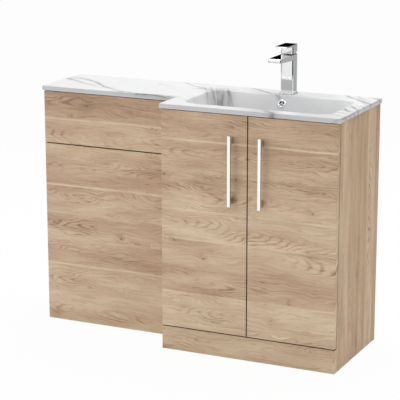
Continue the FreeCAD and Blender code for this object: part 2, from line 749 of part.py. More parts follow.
def make_door_buffers(side):
    buffers = []
    u = DOOR_SIDE_REVEAL + DOOR_W - BUFFER_FROM_EDGE
    for z in (DOOR_Z0 + BUFFER_BOTTOM_RISE, DOOR_Z1 - BUFFER_TOP_DROP):
        pad = rod(BUFFER_R, V(side.x(u), DOOR_BACK_Y, z), BACK, BUFFER_T)
        crown = [e for e in pad.Edges if abs(e.BoundBox.YMin - DOOR_BACK_Y - BUFFER_T) < EDGE_TOL]
        buffers.append(pad.makeFillet(BUFFER_T / 2, crown))
    put(side.word + "_door_buffers", *buffers)


# Toilet cabinet

def clip_places():
    top_z = CABINET_H - BOARD / 2
    low_z = (ACCESS_SPLIT_Z + FACE_GAP + ACCESS_SPLIT_Z + WC_MID_RAIL_LAP) / 2
    xs = (-WC_W + CLIP_INSET_X, -CLIP_INSET_X)
    return [(x, z) for x in xs for z in (low_z, top_z)]


def make_wc_sides():
    x0, x1 = wc_inside()
    bores = dowel_bores(x0, x1, wc_dowel_places())
    left = block(-WC_W, x0, -WC_D, 0, 0, CABINET_H)
    right = block(x1, 0, -WC_D, 0, 0, CABINET_H)
    put("wc_side_left", left.cut(bores))
    put("wc_side_right", right.cut(bores + unit_bolt_bores()))


def clip_socket_bores():
    radius = CLIP_SOCKET_R
    return [rod(radius, V(x, -WC_D, z), BACK, CLIP_SOCKET_DEPTH) for x, z in clip_places()]


def make_wc_rails():
    x0, x1 = wc_inside()
    cuts = dowel_bores(x0, x1, wc_dowel_places())
    sockets = clip_socket_bores()
    mid_low, mid_high = wc_mid_rail_z()
    front = -WC_D
    top = block(x0, x1, front, front + WC_TOP_RAIL_D, CABINET_H - BOARD, CABINET_H)
    mid = block(x0, x1, front, front + BOARD, mid_low, mid_high)
    bottom = block(x0, x1, front, front + BOARD, 0, WC_BOTTOM_RAIL_H)
    rear = block(x0, x1, -BOARD, 0, CABINET_H - REAR_RAIL_H, CABINET_H)
    put("wc_top_rail", top.cut(cuts + sockets))
    put("wc_mid_rail", mid.cut(cuts + sockets))
    put("wc_bottom_rail", bottom.cut(cuts))
    put("wc_rear_rail", rear.cut(cuts))
    left_rods = dowel_rods(x0, 1, wc_dowel_places(), 0, 0)
    right_rods = dowel_rods(x1, -1, wc_dowel_places(), 0, 0)
    put("wc_dowels", *left_rods, *right_rods)


def make_wc_faces():
    x0 = -WC_W
    x1 = -DOOR_SIDE_REVEAL
    put("wc_lower_panel", eased_board(x0, x1, WC_FACE_Y, -WC_D, 0, ACCESS_SPLIT_Z))
    access = eased_board(x0, x1, WC_FACE_Y, -WC_D, ACCESS_SPLIT_Z + FACE_GAP, DOOR_Z1)
    recess = [rod(CLIP_PLATE_R + CLIP_CLEAR, V(x, -WC_D, z), FRONT, CLIP_PLATE_T) for x, z in clip_places()]
    put("wc_access_panel", access.cut(recess))


def make_access_clips():
    """Ball studs let into the back of the access panel push into sleeves in the rails."""
    studs = []
    sleeves = []
    for x, z in clip_places():
        plate = rod(CLIP_PLATE_R, V(x, -WC_D, z), FRONT, CLIP_PLATE_T)
        neck = rod(CLIP_NECK_R, V(x, -WC_D, z), BACK, CLIP_STUD_L - CLIP_STUD_R)
        ball = Part.makeSphere(CLIP_STUD_R, V(x, -WC_D + CLIP_STUD_L - CLIP_STUD_R, z))
        studs.append(join(plate, neck, ball))
        sleeve = rod(CLIP_SOCKET_R, V(x, -WC_D, z), BACK, CLIP_SOCKET_DEPTH)
        bore = rod(CLIP_SOCKET_BORE_R, V(x, -WC_D, z), BACK, CLIP_STUD_L + CLIP_CLEAR)
        sleeves.append(sleeve.cut(bore))
    put("access_clip_studs", *studs)
    put("access_clip_sleeves", *sleeves)


def make_wall_brackets():
    """Steel angles inside each cabinet, one leg on a side board and one drilled leg on the wall."""
    brackets = []
    for corners in (wc_inside(), vanity_inside()):
        for corner_x, inward in zip(corners, (1, -1)):
            z1 = BRACKET_Z + BRACKET_H
            far = corner_x + inward * BRACKET_LEG
            near = corner_x + inward * BRACKET_T
            wall_leg = block(min(corner_x, far), max(corner_x, far), -BRACKET_T, 0, BRACKET_Z, z1)
            side_leg = block(min(corner_x, near), max(corner_x, near), -BRACKET_LEG, 0, BRACKET_Z, z1)
            centre = V(corner_x + inward * BRACKET_HOLE_FROM_CORNER, 0, BRACKET_Z + BRACKET_H / 2)
            hole = rod(BRACKET_HOLE_R, centre, FRONT, BRACKET_T)
            brackets.append(join(wall_leg, side_leg).cut(hole))
    put("wall_brackets", *brackets)


# Cast top with its bowl

def bowl_solid(grow):
    """The bowl's hollow, or with grow above zero the outside of its wall."""
    rings = []
    for share, side, back, front, corner in BOWL_STATIONS:
        z = TOP_Z - share * BOWL_DEPTH - (grow if share == 1.0 else 0)
        half = BOWL_HALF_W * (1 - side) + grow
        y0 = -BOWL_FRONT + front * BOWL_L - grow
        y1 = -BOWL_BACK - back * BOWL_L + grow
        radius = min(BOWL_CORNER_R * corner + grow, (y1 - y0) * BOWL_CORNER_LIMIT)
        rings.append(rounded_outline(BASIN_X - half, BASIN_X + half, y0, y1, radius, z))
    return Part.makeLoft(rings, True, False)


def overflow_seat():
    """Centre of the overflow hole on the back wall, and the wall's direction into the bowl."""
    hollow = bowl_solid(0)
    z = TOP_Z - OVERFLOW_DROP
    ray = Part.makeLine(V(BASIN_X, -BOWL_BACK + RAY_MARGIN, z), V(BASIN_X, BOWL_Y, z))
    hits = [v.Point for v in hollow.common(ray).Vertexes]
    centre = max(hits, key=lambda p: p.y)
    ray.translate(V(0, 0, -WALL_SLOPE_STEP))
    below = max((v.Point for v in hollow.common(ray).Vertexes), key=lambda p: p.y)
    rise = centre.sub(below)
    return centre, V(0, -rise.z, rise.y).normalize()


def make_basin_top():
    over = TOP_OVERHANG
    front_y = DOOR_FACE_Y - over
    wc_front_y = WC_FACE_Y - over
    plan = [(-WC_W - over, 0), (VANITY_W + over, 0), (VANITY_W + over, front_y),
            (-over, front_y), (-over, wc_front_y), (-WC_W - over, wc_front_y)]
    slab = plan_profile(plan, CABINET_H, TOP_Z)
    arris = [e for e in slab.Edges if e.BoundBox.ZMin > TOP_Z - EDGE_TOL and e.BoundBox.YMin < -1]
    slab = slab.makeFillet(TOP_ARRIS, arris)
    skirt = bowl_solid(BOWL_WALL)
    above = block(-WC_W, VANITY_W, -VANITY_D, 0, CABINET_H + TOP_T / 2, TOP_Z + BOWL_DEPTH)
    boss = rod(BOSS_R, V(BASIN_X, WASTE_Y, BOSS_Z), UP, BOSS_DROP)
    duct_foot = WASTE_Y
    duct = side_profile([(-DUCT_BACK, CABINET_H), (-DUCT_BACK, BOSS_Z), (duct_foot, BOSS_Z),
                         (duct_foot, CABINET_H)], BASIN_X - DUCT_HALF_W, BASIN_X + DUCT_HALF_W)
    cast = join(slab, skirt.cut(above), boss, duct)
    cast = cast.cut(bowl_solid(0))
    rim = [e for e in cast.Edges if e.BoundBox.ZMin > TOP_Z - EDGE_TOL
           and e.BoundBox.YMax < -BOWL_BACK + RIM_SEARCH
           and e.BoundBox.XMin > BASIN_X - BOWL_HALF_W - RIM_SEARCH
           and e.BoundBox.XMax < BASIN_X + BOWL_HALF_W + RIM_SEARCH
           and e.BoundBox.YMin > -BOWL_FRONT - RIM_SEARCH]
    cast = cast.makeFillet(RIM_R, rim)
    centre, inward = overflow_seat()
    hole_length = abs(abs(centre.y) - DUCT_BORE_Y) / abs(inward.y) + DUCT_BORE_R / 2
    hole = rod(OVERFLOW_HOLE_R, centre.add(inward * RIM_R), inward * -1, hole_length + RIM_R)
    foot_z = BOSS_Z + DUCT_FOOT_RISE
    drop = rod(DUCT_BORE_R, V(BASIN_X, -DUCT_BORE_Y, foot_z), UP, CABINET_H - RIM_R - foot_z)
    foot = rod(DUCT_FOOT_R, V(BASIN_X, -DUCT_BORE_Y, foot_z), FRONT, abs(WASTE_Y) - DUCT_BORE_Y)
    waste = rod(WASTE_HOLE_R, V(BASIN_X, WASTE_Y, BOSS_Z), UP, BOWL_DEPTH)
    recess_floor = V(BASIN_X, WASTE_Y, BOWL_FLOOR_Z - WASTE_FLANGE_T)
    recess = rod(WASTE_FLANGE_R + WASTE_RECESS_CLEAR, recess_floor, UP, BOWL_DEPTH)
    tap = rod(TAP_HOLE_R, V(BASIN_X, TAP_Y, CABINET_H), UP, TOP_T)
    put("basin_top", cast.cut([hole, drop, foot, waste, recess, tap]))


def make_overflow_ring():
    """A rounded flange on the sloping back wall, a sleeve in the hole and three bars across it."""
    profile = [V(OVERFLOW_OPEN_R, 0, -OVERFLOW_SLEEVE_L), V(OVERFLOW_SLEEVE_R, 0, -OVERFLOW_SLEEVE_L),
               V(OVERFLOW_SLEEVE_R, 0, 0), V(OVERFLOW_RING_R, 0, 0)]
    edges = [Part.makeLine(a, b) for a, b in zip(profile, profile[1:])]
    outer = V(OVERFLOW_RING_R, 0, 0)
    inner = V(OVERFLOW_OPEN_R, 0, OVERFLOW_RING_T / 2)
    crest = V((OVERFLOW_RING_R + OVERFLOW_OPEN_R) / 2 + OVERFLOW_CREST_OFFSET, 0, OVERFLOW_RING_T)
    edges.append(Part.Arc(outer, crest, inner).toShape())
    edges.append(Part.makeLine(inner, profile[0]))
    ring = Part.Face(Part.Wire(edges)).revolve(V(0, 0, 0), UP, 360)
    bars = []
    reach = OVERFLOW_OPEN_R + OVERFLOW_BAR_LAP
    for i in range(OVERFLOW_BARS):
        bar = block(-OVERFLOW_BAR / 2, OVERFLOW_BAR / 2, 0, reach, -OVERFLOW_BAR_DEPTH, 0)
        bar.rotate(V(0, 0, 0), UP, 360 / OVERFLOW_BARS * i)
        bars.append(bar)
    ring = join(ring, *bars)
    centre, inward = overflow_seat()
    seat = centre.add(inward * OVERFLOW_SEAT_GAP)
    ring.Placement = FreeCAD.Placement(seat, FreeCAD.Rotation(UP, inward))
    put("overflow_ring", ring)


# Basin waste

def make_waste():
    x = BASIN_X
    seat_z = BOWL_FLOOR_Z - WASTE_FLANGE_T
    axis = V(x, WASTE_Y, 0)
    flange = rod(WASTE_FLANGE_R, V(x, WASTE_Y, seat_z), UP, WASTE_FLANGE_T)
    rim = [e for e in flange.Edges if e.BoundBox.ZMin > seat_z + WASTE_FLANGE_T - EDGE_TOL]
    flange = flange.makeFillet(WASTE_FLANGE_T / 2, rim)
    tube_l = WASTE_TUBE_L - WASTE_TAIL_L
    tube = rod(WASTE_TUBE_R, V(x, WASTE_Y, seat_z - tube_l), UP, tube_l)
    tail = rod(WASTE_TAIL_R, V(x, WASTE_Y, seat_z - WASTE_TUBE_L), UP, WASTE_TAIL_L)
    bore = rod(WASTE_BORE_R, V(x, WASTE_Y, seat_z - WASTE_TUBE_L), UP, WASTE_TUBE_L + WASTE_FLANGE_T)
    slot_z = BOSS_Z + DUCT_FOOT_RISE
    slots = []
    for turn in (0, 90):
        slot = block(-WASTE_FLANGE_R, WASTE_FLANGE_R, -WASTE_SLOT_W / 2, WASTE_SLOT_W / 2,
                     slot_z - WASTE_SLOT_H / 2, slot_z + WASTE_SLOT_H / 2)
        slot.rotate(V(0, 0, 0), UP, turn)
        slot.translate(axis)
        slots.append(slot)
    body = join(flange, tube, tail).cut([bore] + slots)
    web_z = seat_z - SPIDER_DROP
    reach = (WASTE_BORE_R + WASTE_TUBE_R) / 2
    hub = rod(PLUG_STEM_R + SPIDER_HUB_WALL, V(x, WASTE_Y, web_z), UP, SPIDER_T)
    half = SPIDER_BAR / 2
    web_top = web_z + SPIDER_T
    bars = [block(x - reach, x + reach, WASTE_Y - half, WASTE_Y + half, web_z, web_top),
            block(x - half, x + half, WASTE_Y - reach, WASTE_Y + reach, web_z, web_top)]
    guide = rod(PLUG_STEM_R + PLUG_STEM_CLEAR, V(x, WASTE_Y, web_z), UP, SPIDER_T)
    put("waste_body", join(body, hub, *bars).cut(guide))
    washer_z = BOSS_Z - WASTE_WASHER_T
    around = rod(WASTE_TUBE_R + WASTE_THREAD_CLEAR, V(x, WASTE_Y, washer_z - WASTE_NUT_T), UP,
                 WASTE_WASHER_T + WASTE_NUT_T)
    put("waste_washer", rod(WASTE_WASHER_R, V(x, WASTE_Y, washer_z), UP, WASTE_WASHER_T).cut(around))
    put("waste_nut", hexagon(WASTE_NUT_AF, x, WASTE_Y, washer_z - WASTE_NUT_T, washer_z).cut(around))


def make_plug():
    """A low domed cap on a stem that slides in the waste's spider."""
    z = BOWL_FLOOR_Z + PLUG_SEAT_GAP
    lip = z + PLUG_LIP_T
    crown = lip + PLUG_DOME
    dome_r = (PLUG_R ** 2 + PLUG_DOME ** 2) / (2 * PLUG_DOME)
    mid_z = crown - dome_r + math.sqrt(dome_r ** 2 - PLUG_R ** 2 / 4)
    foot = z - PLUG_STEM_L
    edges = [
        Part.makeLine(V(0, 0, foot), V(PLUG_STEM_R, 0, foot)),
        Part.makeLine(V(PLUG_STEM_R, 0, foot), V(PLUG_STEM_R, 0, z)),
        Part.makeLine(V(PLUG_STEM_R, 0, z), V(PLUG_R, 0, z)),
        Part.makeLine(V(PLUG_R, 0, z), V(PLUG_R, 0, lip)),
        Part.Arc(V(PLUG_R, 0, lip), V(PLUG_R / 2, 0, mid_z), V(0, 0, crown)).toShape(),
        Part.makeLine(V(0, 0, crown), V(0, 0, foot)),
    ]
    plug = Part.Face(Part.Wire(edges)).revolve(V(0, 0, 0), UP, 360)
    plug.translate(V(BASIN_X, WASTE_Y, 0))
    put("waste_plug", plug)


# Basin mixer

def tap_sides():
    return BASIN_X - TAP_W / 2, BASIN_X + TAP_W / 2


def tap_inlet_places():
    return [(BASIN_X + sign * INLET_HALF_SPREAD, TAP_Y + INLET_Y_OFFSET) for sign in (-1, 1)]


def supply_way_places():
    """The drilled ways up to the cartridge leave each inlet on the side nearer the middle."""
    spread = INLET_HALF_SPREAD - SUPPLY_WAY_SHIFT
    return [(BASIN_X + sign * spread, TAP_Y + INLET_Y_OFFSET) for sign in (-1, 1)]


def spout_underside_z(distance):
    """Height of the spout's sloping underside at a distance in front of the column."""
    thickness = SPOUT_ROOT_T + (SPOUT_TIP_T - SPOUT_ROOT_T) * distance / SPOUT_L
    return TAP_TOP_Z - thickness


def aerator_place():
    distance = SPOUT_L - AERATOR_FROM_TIP
    return TAP_FRONT_Y - distance, spout_underside_z(distance) - AERATOR_SHOW


def cartridge_well():
    """The round well that the cartridge drops into, through the spout's head into the column."""
    depth = CARTRIDGE_H + CARTRIDGE_TOP_DROP
    return rod(CARTRIDGE_R + CARTRIDGE_CLEAR, V(BASIN_X, TAP_Y, TAP_TOP_Z - depth), UP, depth)


def make_tap_body():
    """The column: a drilled square body with a round spigot below that finds the hole in the deck."""
    x0, x1 = tap_sides()
    foot_top = TOP_Z + TAP_FOOT_T
    column = rounded_prism(x0, x1, TAP_FRONT_Y, TAP_BACK_Y, TAP_CORNER_R, foot_top, SPOUT_ROOT_Z)
    spigot_foot = V(BASIN_X, TAP_Y, TOP_Z - TAP_SPIGOT_L)
    spigot = rod(TAP_SPIGOT_R, spigot_foot, UP, TAP_SPIGOT_L + TAP_FOOT_T)
    spigot = spigot.cut(rod(TAP_SPIGOT_BORE_R, spigot_foot, UP, TAP_SPIGOT_L + TAP_FOOT_T))
    well = cartridge_well()
    well_z = well.BoundBox.ZMin
    cuts = [well]
    for x, y in tap_inlet_places():
        cuts.append(rod(INLET_R, V(x, y, foot_top), UP, INLET_DEPTH))
    for x, y in supply_way_places():
        cuts.append(rod(SUPPLY_WAY_R, V(x, y, foot_top), UP, well_z - foot_top))
    cuts.append(rod(STUD_R + STUD_CLEAR, V(BASIN_X, TAP_Y + STUD_Y_OFFSET, foot_top), UP, STUD_SEAT))
    put("tap_body", join(column, spigot).cut(cuts))


def make_tap_spout():
    """The spout and the square head it grows from, soldered on the column."""
    x0, x1 = tap_sides()
    head = rounded_prism(x0, x1, TAP_FRONT_Y, TAP_BACK_Y, TAP_CORNER_R, SPOUT_ROOT_Z, TAP_TOP_Z)
    tip_y = TAP_FRONT_Y - SPOUT_L
    arm = side_profile([(TAP_Y, TAP_TOP_Z), (tip_y, TAP_TOP_Z), (tip_y, TAP_TOP_Z - SPOUT_TIP_T),
                        (TAP_FRONT_Y, SPOUT_ROOT_Z), (TAP_Y, SPOUT_ROOT_Z)], x0, x1)
    tip = [e for e in arm.Edges if e.BoundBox.YMax < tip_y + EDGE_TOL]
    arm = arm.makeFillet(SPOUT_EDGE_R, tip)
    aerator_y, aerator_z = aerator_place()
    pocket = rod(AERATOR_R + AERATOR_CLEAR, V(BASIN_X, aerator_y, aerator_z - AERATOR_T), UP, 2 * AERATOR_T)
    way_z = aerator_z + AERATOR_T - WATERWAY_R
    way = rod(WATERWAY_R, V(BASIN_X, TAP_Y, way_z), FRONT, TAP_Y - aerator_y)
    put("tap_spout", join(head, arm).cut([cartridge_well(), pocket, way]))
    aerator = rod(AERATOR_R, V(BASIN_X, aerator_y, aerator_z), UP, AERATOR_T)
    throat = rod(WATERWAY_R, V(BASIN_X, aerator_y, aerator_z + AERATOR_T / 2), UP, AERATOR_T)
    dish = rod(AERATOR_R - AERATOR_RIM, V(BASIN_X, aerator_y, aerator_z), UP, AERATOR_DISH)
    put("tap_aerator", aerator.cut([throat, dish]))


def make_tap_foot():
    x0, x1 = tap_sides()
    m = TAP_FOOT_MARGIN
    foot = rounded_prism(x0 - m, x1 + m, TAP_FRONT_Y - m, TAP_BACK_Y + m, TAP_FOOT_CORNER_R,
                         TOP_Z, TOP_Z + TAP_FOOT_T)
    upper = [e for e in foot.Edges if e.BoundBox.ZMin > TOP_Z + TAP_FOOT_T - EDGE_TOL]
    foot = foot.makeFillet(TAP_FOOT_ROUND, upper)
    hole = rod(TAP_SPIGOT_R + CARTRIDGE_CLEAR, V(BASIN_X, TAP_Y, TOP_Z), UP, TAP_FOOT_T)
    put("tap_foot", foot.cut(hole))


def make_cartridge():
    x = BASIN_X
    top = TAP_TOP_Z - CARTRIDGE_TOP_DROP
    floor = top - CARTRIDGE_H
    case = rod(CARTRIDGE_R, V(x, TAP_Y, floor), UP, CARTRIDGE_H)
    swivel_z = TAP_TOP_Z - SWIVEL_H
    chamber = rod(SWIVEL_R + SWIVEL_CLEAR, V(x, TAP_Y, swivel_z), UP, SWIVEL_H)
    ports = [rod(SUPPLY_WAY_R, V(px, py, floor), UP, CARTRIDGE_FLOOR) for px, py in supply_way_places()]
    put("tap_cartridge", case.cut([chamber] + ports))
    nut = rod(CARTRIDGE_R, V(x, TAP_Y, top), UP, CARTRIDGE_NUT_T)
    put("tap_cartridge_nut", nut.cut(rod(CARTRIDGE_NUT_BORE_R, V(x, TAP_Y, top), UP, CARTRIDGE_NUT_T)))
    swivel = rod(SWIVEL_R, V(x, TAP_Y, swivel_z), UP, SWIVEL_H - SWIVEL_TOP_DROP)
    half_w = STEM_W / 2 + STEM_SLOT_CLEAR
    half_d = STEM_SLOT_D / 2
    slot = block(x - half_w, x + half_w, TAP_Y - half_d, TAP_Y + half_d, LIFT_AXIS_Z - STEM_D, TAP_TOP_Z)
    pin_start = V(x - SWIVEL_R + SWIVEL_PIN_INSET, TAP_Y, LIFT_AXIS_Z)
    pin = rod(STEM_PIN_R, pin_start, RIGHT, 2 * (SWIVEL_R - SWIVEL_PIN_INSET))
    put("tap_swivel", swivel.cut([slot, pin]))
    put("tap_swivel_pin", pin)


def make_lever():
    """A square head the size of the column, with a thin plate that runs out over the spout."""
    x0, x1 = tap_sides()
    z0 = TAP_TOP_Z + LEVER_GAP
    z1 = z0 + LEVER_H
    head = rounded_prism(x0, x1, TAP_FRONT_Y, TAP_BACK_Y, TAP_CORNER_R, z0, z1)
    tip_y = TAP_FRONT_Y - LEVER_REACH
    root_z = z1 - LEVER_PLATE_T
    section = [(TAP_Y, z1), (tip_y, z1), (tip_y, z1 - LEVER_TIP_T), (TAP_FRONT_Y, root_z), (TAP_Y, root_z)]
    plate = side_profile(section, x0, x1)
    tip = [e for e in plate.Edges if e.BoundBox.YMax < tip_y + EDGE_TOL]
    plate = plate.makeFillet(LEVER_EDGE_R, tip)
    low = z0 - CUT_PAST
    rear = TAP_BACK_Y + CUT_PAST
    wedge = [(TAP_Y, low), (TAP_Y, z0), (rear, z0 + LEVER_RELIEF), (rear, low)]
    relief = side_profile(wedge, x0 - CUT_PAST, x1 + CUT_PAST)
    cavity = rod(LEVER_CAVITY_R, V(BASIN_X, TAP_Y, low), UP, LEVER_CAVITY_H + CUT_PAST)
    grow = STEM_SOCKET_CLEAR
    foot_z = LIFT_AXIS_Z
    top_z = foot_z + STEM_L
    half_w = STEM_W / 2
    half_d = STEM_D / 2
    socket = block(BASIN_X - half_w - grow, BASIN_X + half_w + grow, TAP_Y - half_d - grow,
                   TAP_Y + half_d + grow, z0, top_z)
    put("tap_lever", join(head, plate).cut([relief, cavity, socket]))
    stem = block(BASIN_X - half_w, BASIN_X + half_w, TAP_Y - half_d, TAP_Y + half_d, foot_z, top_z)
    foot_start = V(BASIN_X - half_w, TAP_Y, foot_z)
    round_foot = rod(half_d, foot_start, RIGHT, STEM_W)
    eye = rod(STEM_PIN_R + STEM_PIN_CLEAR, foot_start, RIGHT, STEM_W)
    put("tap_stem", join(stem, round_foot).cut(eye))


def make_tap_fixings():
    """Stud, horseshoe plate on a rubber copy of itself, and nut, all under the basin deck."""
    x = BASIN_X
    y = TAP_Y + STUD_Y_OFFSET
    stud_top = TOP_Z + TAP_FOOT_T + STUD_SEAT
    put("tap_stud", rod(STUD_R, V(x, y, stud_top - STUD_L), UP, STUD_L))
    rubber_z = CABINET_H - CLAMP_RUBBER_T
    clamp_z = rubber_z - CLAMP_T
    layers = (("tap_rubber_washer", rubber_z, CLAMP_RUBBER_T), ("tap_clamp_plate", clamp_z, CLAMP_T))
    for node, z, thickness in layers:
        disc = rod(CLAMP_R, V(x, TAP_Y, z), UP, thickness)
        slot_y = TAP_Y + INLET_Y_OFFSET - INLET_R - CLAMP_HOSE_CLEAR
        mouth = block(x - CLAMP_SLOT_W / 2, x + CLAMP_SLOT_W / 2, slot_y, TAP_Y + CLAMP_R, z, z + thickness)
        hole = rod(STUD_R + BOLT_CLEAR, V(x, y, z), UP, thickness)
        put(node, disc.cut([mouth, hole]))
    nut = hexagon(STUD_NUT_AF, x, y, clamp_z - STUD_NUT_T, clamp_z)
    put("tap_stud_nut", nut.cut(rod(STUD_R + STUD_CLEAR, V(x, y, clamp_z - STUD_NUT_T), UP, STUD_NUT_T)))


make_vanity_sides()
make_vanity_boards()
make_vanity_back()
make_shelf()
make_plinth()
for door_side in (LEFT, RIGHT_SIDE):
    make_door(door_side)
    make_handle(door_side)
    make_hinge_cups(door_side)
    make_hinge_links(door_side)
    make_door_buffers(door_side)
make_hinge_arms()
make_wc_sides()
make_wc_rails()
make_wc_faces()
make_access_clips()
make_unit_bolts()
make_wall_brackets()
make_basin_top()
make_overflow_ring()
make_waste()
make_plug()
make_tap_body()
make_tap_spout()
make_tap_foot()
make_cartridge()
make_lever()
make_tap_fixings()
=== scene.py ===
# %% [markdown]
# # A basin and toilet cabinet, dressed for a studio picture
# The cabinet boards, bowl, tap and hinges come ready made as a fixed frame. This lesson gives them
# their finishes, adds the small turned pieces that are easier to make here, and lights them.
# Everything is in metres, with the floor at z = 0 and the wall behind the unit.

# %% Load the frame
import bpy
import bmesh
import json
import math
from mathutils import Matrix, Vector


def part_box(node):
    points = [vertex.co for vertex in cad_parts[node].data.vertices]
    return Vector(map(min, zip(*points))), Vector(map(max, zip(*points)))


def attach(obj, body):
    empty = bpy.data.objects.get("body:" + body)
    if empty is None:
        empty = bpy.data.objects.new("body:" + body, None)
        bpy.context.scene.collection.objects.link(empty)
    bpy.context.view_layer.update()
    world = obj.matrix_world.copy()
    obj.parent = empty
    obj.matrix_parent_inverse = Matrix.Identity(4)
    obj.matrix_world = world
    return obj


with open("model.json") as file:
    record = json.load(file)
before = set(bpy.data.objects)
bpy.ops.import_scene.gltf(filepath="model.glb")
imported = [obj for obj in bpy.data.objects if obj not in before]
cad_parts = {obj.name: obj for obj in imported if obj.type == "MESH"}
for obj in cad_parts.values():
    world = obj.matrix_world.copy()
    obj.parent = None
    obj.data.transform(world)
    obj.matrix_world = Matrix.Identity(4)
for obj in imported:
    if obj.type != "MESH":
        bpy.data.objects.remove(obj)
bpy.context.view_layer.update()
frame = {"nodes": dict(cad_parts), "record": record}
nodes = frame["nodes"]
print("nodes loaded:", len(nodes))

# %% [markdown]
# ## Writing shaders as sums
# A finish is mostly arithmetic on coordinates and noise. Wiring that by hand hides the idea, so a
# small class wraps a socket and turns Python's own operators into Math nodes. The reflected forms
# let a plain number stand first, as in 1 - mask.

# %% A socket that can be added and multiplied
class Wire:
    def __init__(self, graph, socket):
        self.graph = graph
        self.socket = socket

    def math(self, operation, *others):
        return self.graph.math(operation, self, *others)

    def __add__(self, other):
        return self.math("ADD", other)

    __radd__ = __add__

    def __sub__(self, other):
        return self.math("SUBTRACT", other)

    def __rsub__(self, other):
        return self.graph.math("SUBTRACT", other, self)

    def __mul__(self, other):
        return self.math("MULTIPLY", other)

    __rmul__ = __mul__

    def __pow__(self, other):
        return self.math("POWER", other)

    def __gt__(self, other):
        return self.math("GREATER_THAN", other)

    def __abs__(self):
        return self.math("ABSOLUTE")

    def sine(self):
        return self.math("SINE")

    def root(self):
        return self.math("SQRT")

    def larger(self, other):
        return self.math("MAXIMUM", other)

    def clamp(self):
        return self.graph.node("ShaderNodeClamp", {}, {0: self})

    def output(self, name):
        return Wire(self.graph, self.socket.node.outputs[name])


# %% A tree that grows node by node
class Graph:
    def __init__(self, tree):
        self.tree = tree

    def node(self, kind, settings, sockets, output=0):
        made = self.tree.nodes.new(kind)
        for key, value in settings.items():
            if key == "stops":
                fill_ramp(made.color_ramp, value)
            else:
                setattr(made, key, value)
        for key, value in sockets.items():
            self.feed(made.inputs[key], value)
        return Wire(self, made.outputs[output])

    def feed(self, socket, value):
        if isinstance(value, Wire):
            self.tree.links.new(value.socket, socket)
        else:
            socket.default_value = value

    def math(self, operation, *values):
        return self.node("ShaderNodeMath", {"operation": operation}, dict(enumerate(values)))

    def mix(self, factor, first, second):
        return self.node("ShaderNodeMix", {"data_type": "RGBA"}, {0: factor, 6: first, 7: second}, 2)

    def point(self, x, y, z):
        return self.node("ShaderNodeCombineXYZ", {}, {0: x, 1: y, 2: z})

    def noise(self, place, scale, detail):
        return self.node("ShaderNodeTexNoise", {}, {"Vector": place, "Scale": scale, "Detail": detail})

    def axes(self):
        place = self.node("ShaderNodeTexCoord", {}, {}, "Object")
        x = self.node("ShaderNodeSeparateXYZ", {}, {0: place})
        return x, x.output("Y"), x.output("Z")


# %% A material is a tree with one surface shader
class Finish(Graph):
    def __init__(self, name):
        self.material = bpy.data.materials.new(name)
        self.material.use_nodes = True
        super().__init__(self.material.node_tree)
        self.shader = self.tree.nodes["Principled BSDF"]

    def set(self, **sockets):
        for name, value in sockets.items():
            self.feed(self.shader.inputs[name.replace("_", " ")], value)

    def bump(self, height, strength, distance):
        sockets = {"Height": height, "Strength": strength, "Distance": distance}
        self.set(Normal=self.node("ShaderNodeBump", {}, sockets))


def fill_ramp(ramp, stops):
    while len(ramp.elements) < len(stops):
        ramp.elements.new(1.0)
    for element, (place, colour) in zip(ramp.elements, stops):
        element.position = place
        element.color = colour


# %% [markdown]
# ## Colours from a paint card
# Colours read from a screen are in sRGB steps from 0 to 255. Shaders want linear light, so a small
# function converts them with the sRGB standard's own curve, and a lift allows for the studio light
# being a little under full strength.

# %% Screen colour to linear colour
def paint(red, green, blue, lift=1.0):
    linear = []
    for step in (red, green, blue):
        share = step / 255
        light = share / 12.92 if share < 0.04045 else ((share + 0.055) / 1.055) ** 2.4
        linear.append(light * lift)
    return (*linear, 1.0)


print("pale oak in linear light:", [round(c, 3) for c in paint(190, 165, 138)])

# %% [markdown]
# ## Pale oak decor
# The boards are faced with a printed oak decor. On the fronts the grain lies level, in planks of
# uneven height, and it runs on across both doors. On the sides it stands upright. A tree's rings cut
# by a board give arches, so each plank measures its distance from a slightly tilted pith line and
# turns it into rings. Slow noise bends the rings, and the fibres and pores follow the same bend.
# Each factor in the sums below says how strongly a layer shows.

# %% Plank joints, in metres up from the floor
PLANK_JOINTS = (0.100, 0.203, 0.292, 0.384, 0.480, 0.600, 0.708)
STREAKS = (0.25, 0.6, 0.15, 0.75, 0.95, 0.2, 0.8)
OAK_LIFT = 1.22
JOINT_WANDER = 0.012
LINE_DROP = 0.003
LINE_SHARPNESS = 190
DUSK_RATE = 34


def planks(oak, along, across, seed):
    """Plank number, height inside its plank, the pale line on each joint and the dusk under it."""
    drift = oak.noise(oak.point(along, seed, 0.0), 2.5, 2.0) - 0.5
    level = across + drift * JOINT_WANDER
    number = seed
    foot = 0.0
    streak = 0.0
    dusk = 0.0
    below = 0.0
    for joint, strength in zip(PLANK_JOINTS, STREAKS):
        over = level > joint
        number = over + number
        foot = over * (joint - below) + foot
        below = joint
        line = (1 - abs(level - joint + LINE_DROP) * LINE_SHARPNESS).clamp()
        streak = line * strength + streak
        dusk = ((level - joint) * DUSK_RATE + 1).clamp() * (1 - over) * strength + dusk
    patches = oak.noise(oak.point(along, across * 9 + seed, 3.0), 3.4, 1.0)
    return number, level - foot, streak * (((patches - 0.42) * 6).clamp() * 0.6 + 0.4), dusk


# %% Rings and knots
PITH_HEIGHT = 0.045
RING_RATE = 1350
KNOT_DRAW = 0.87


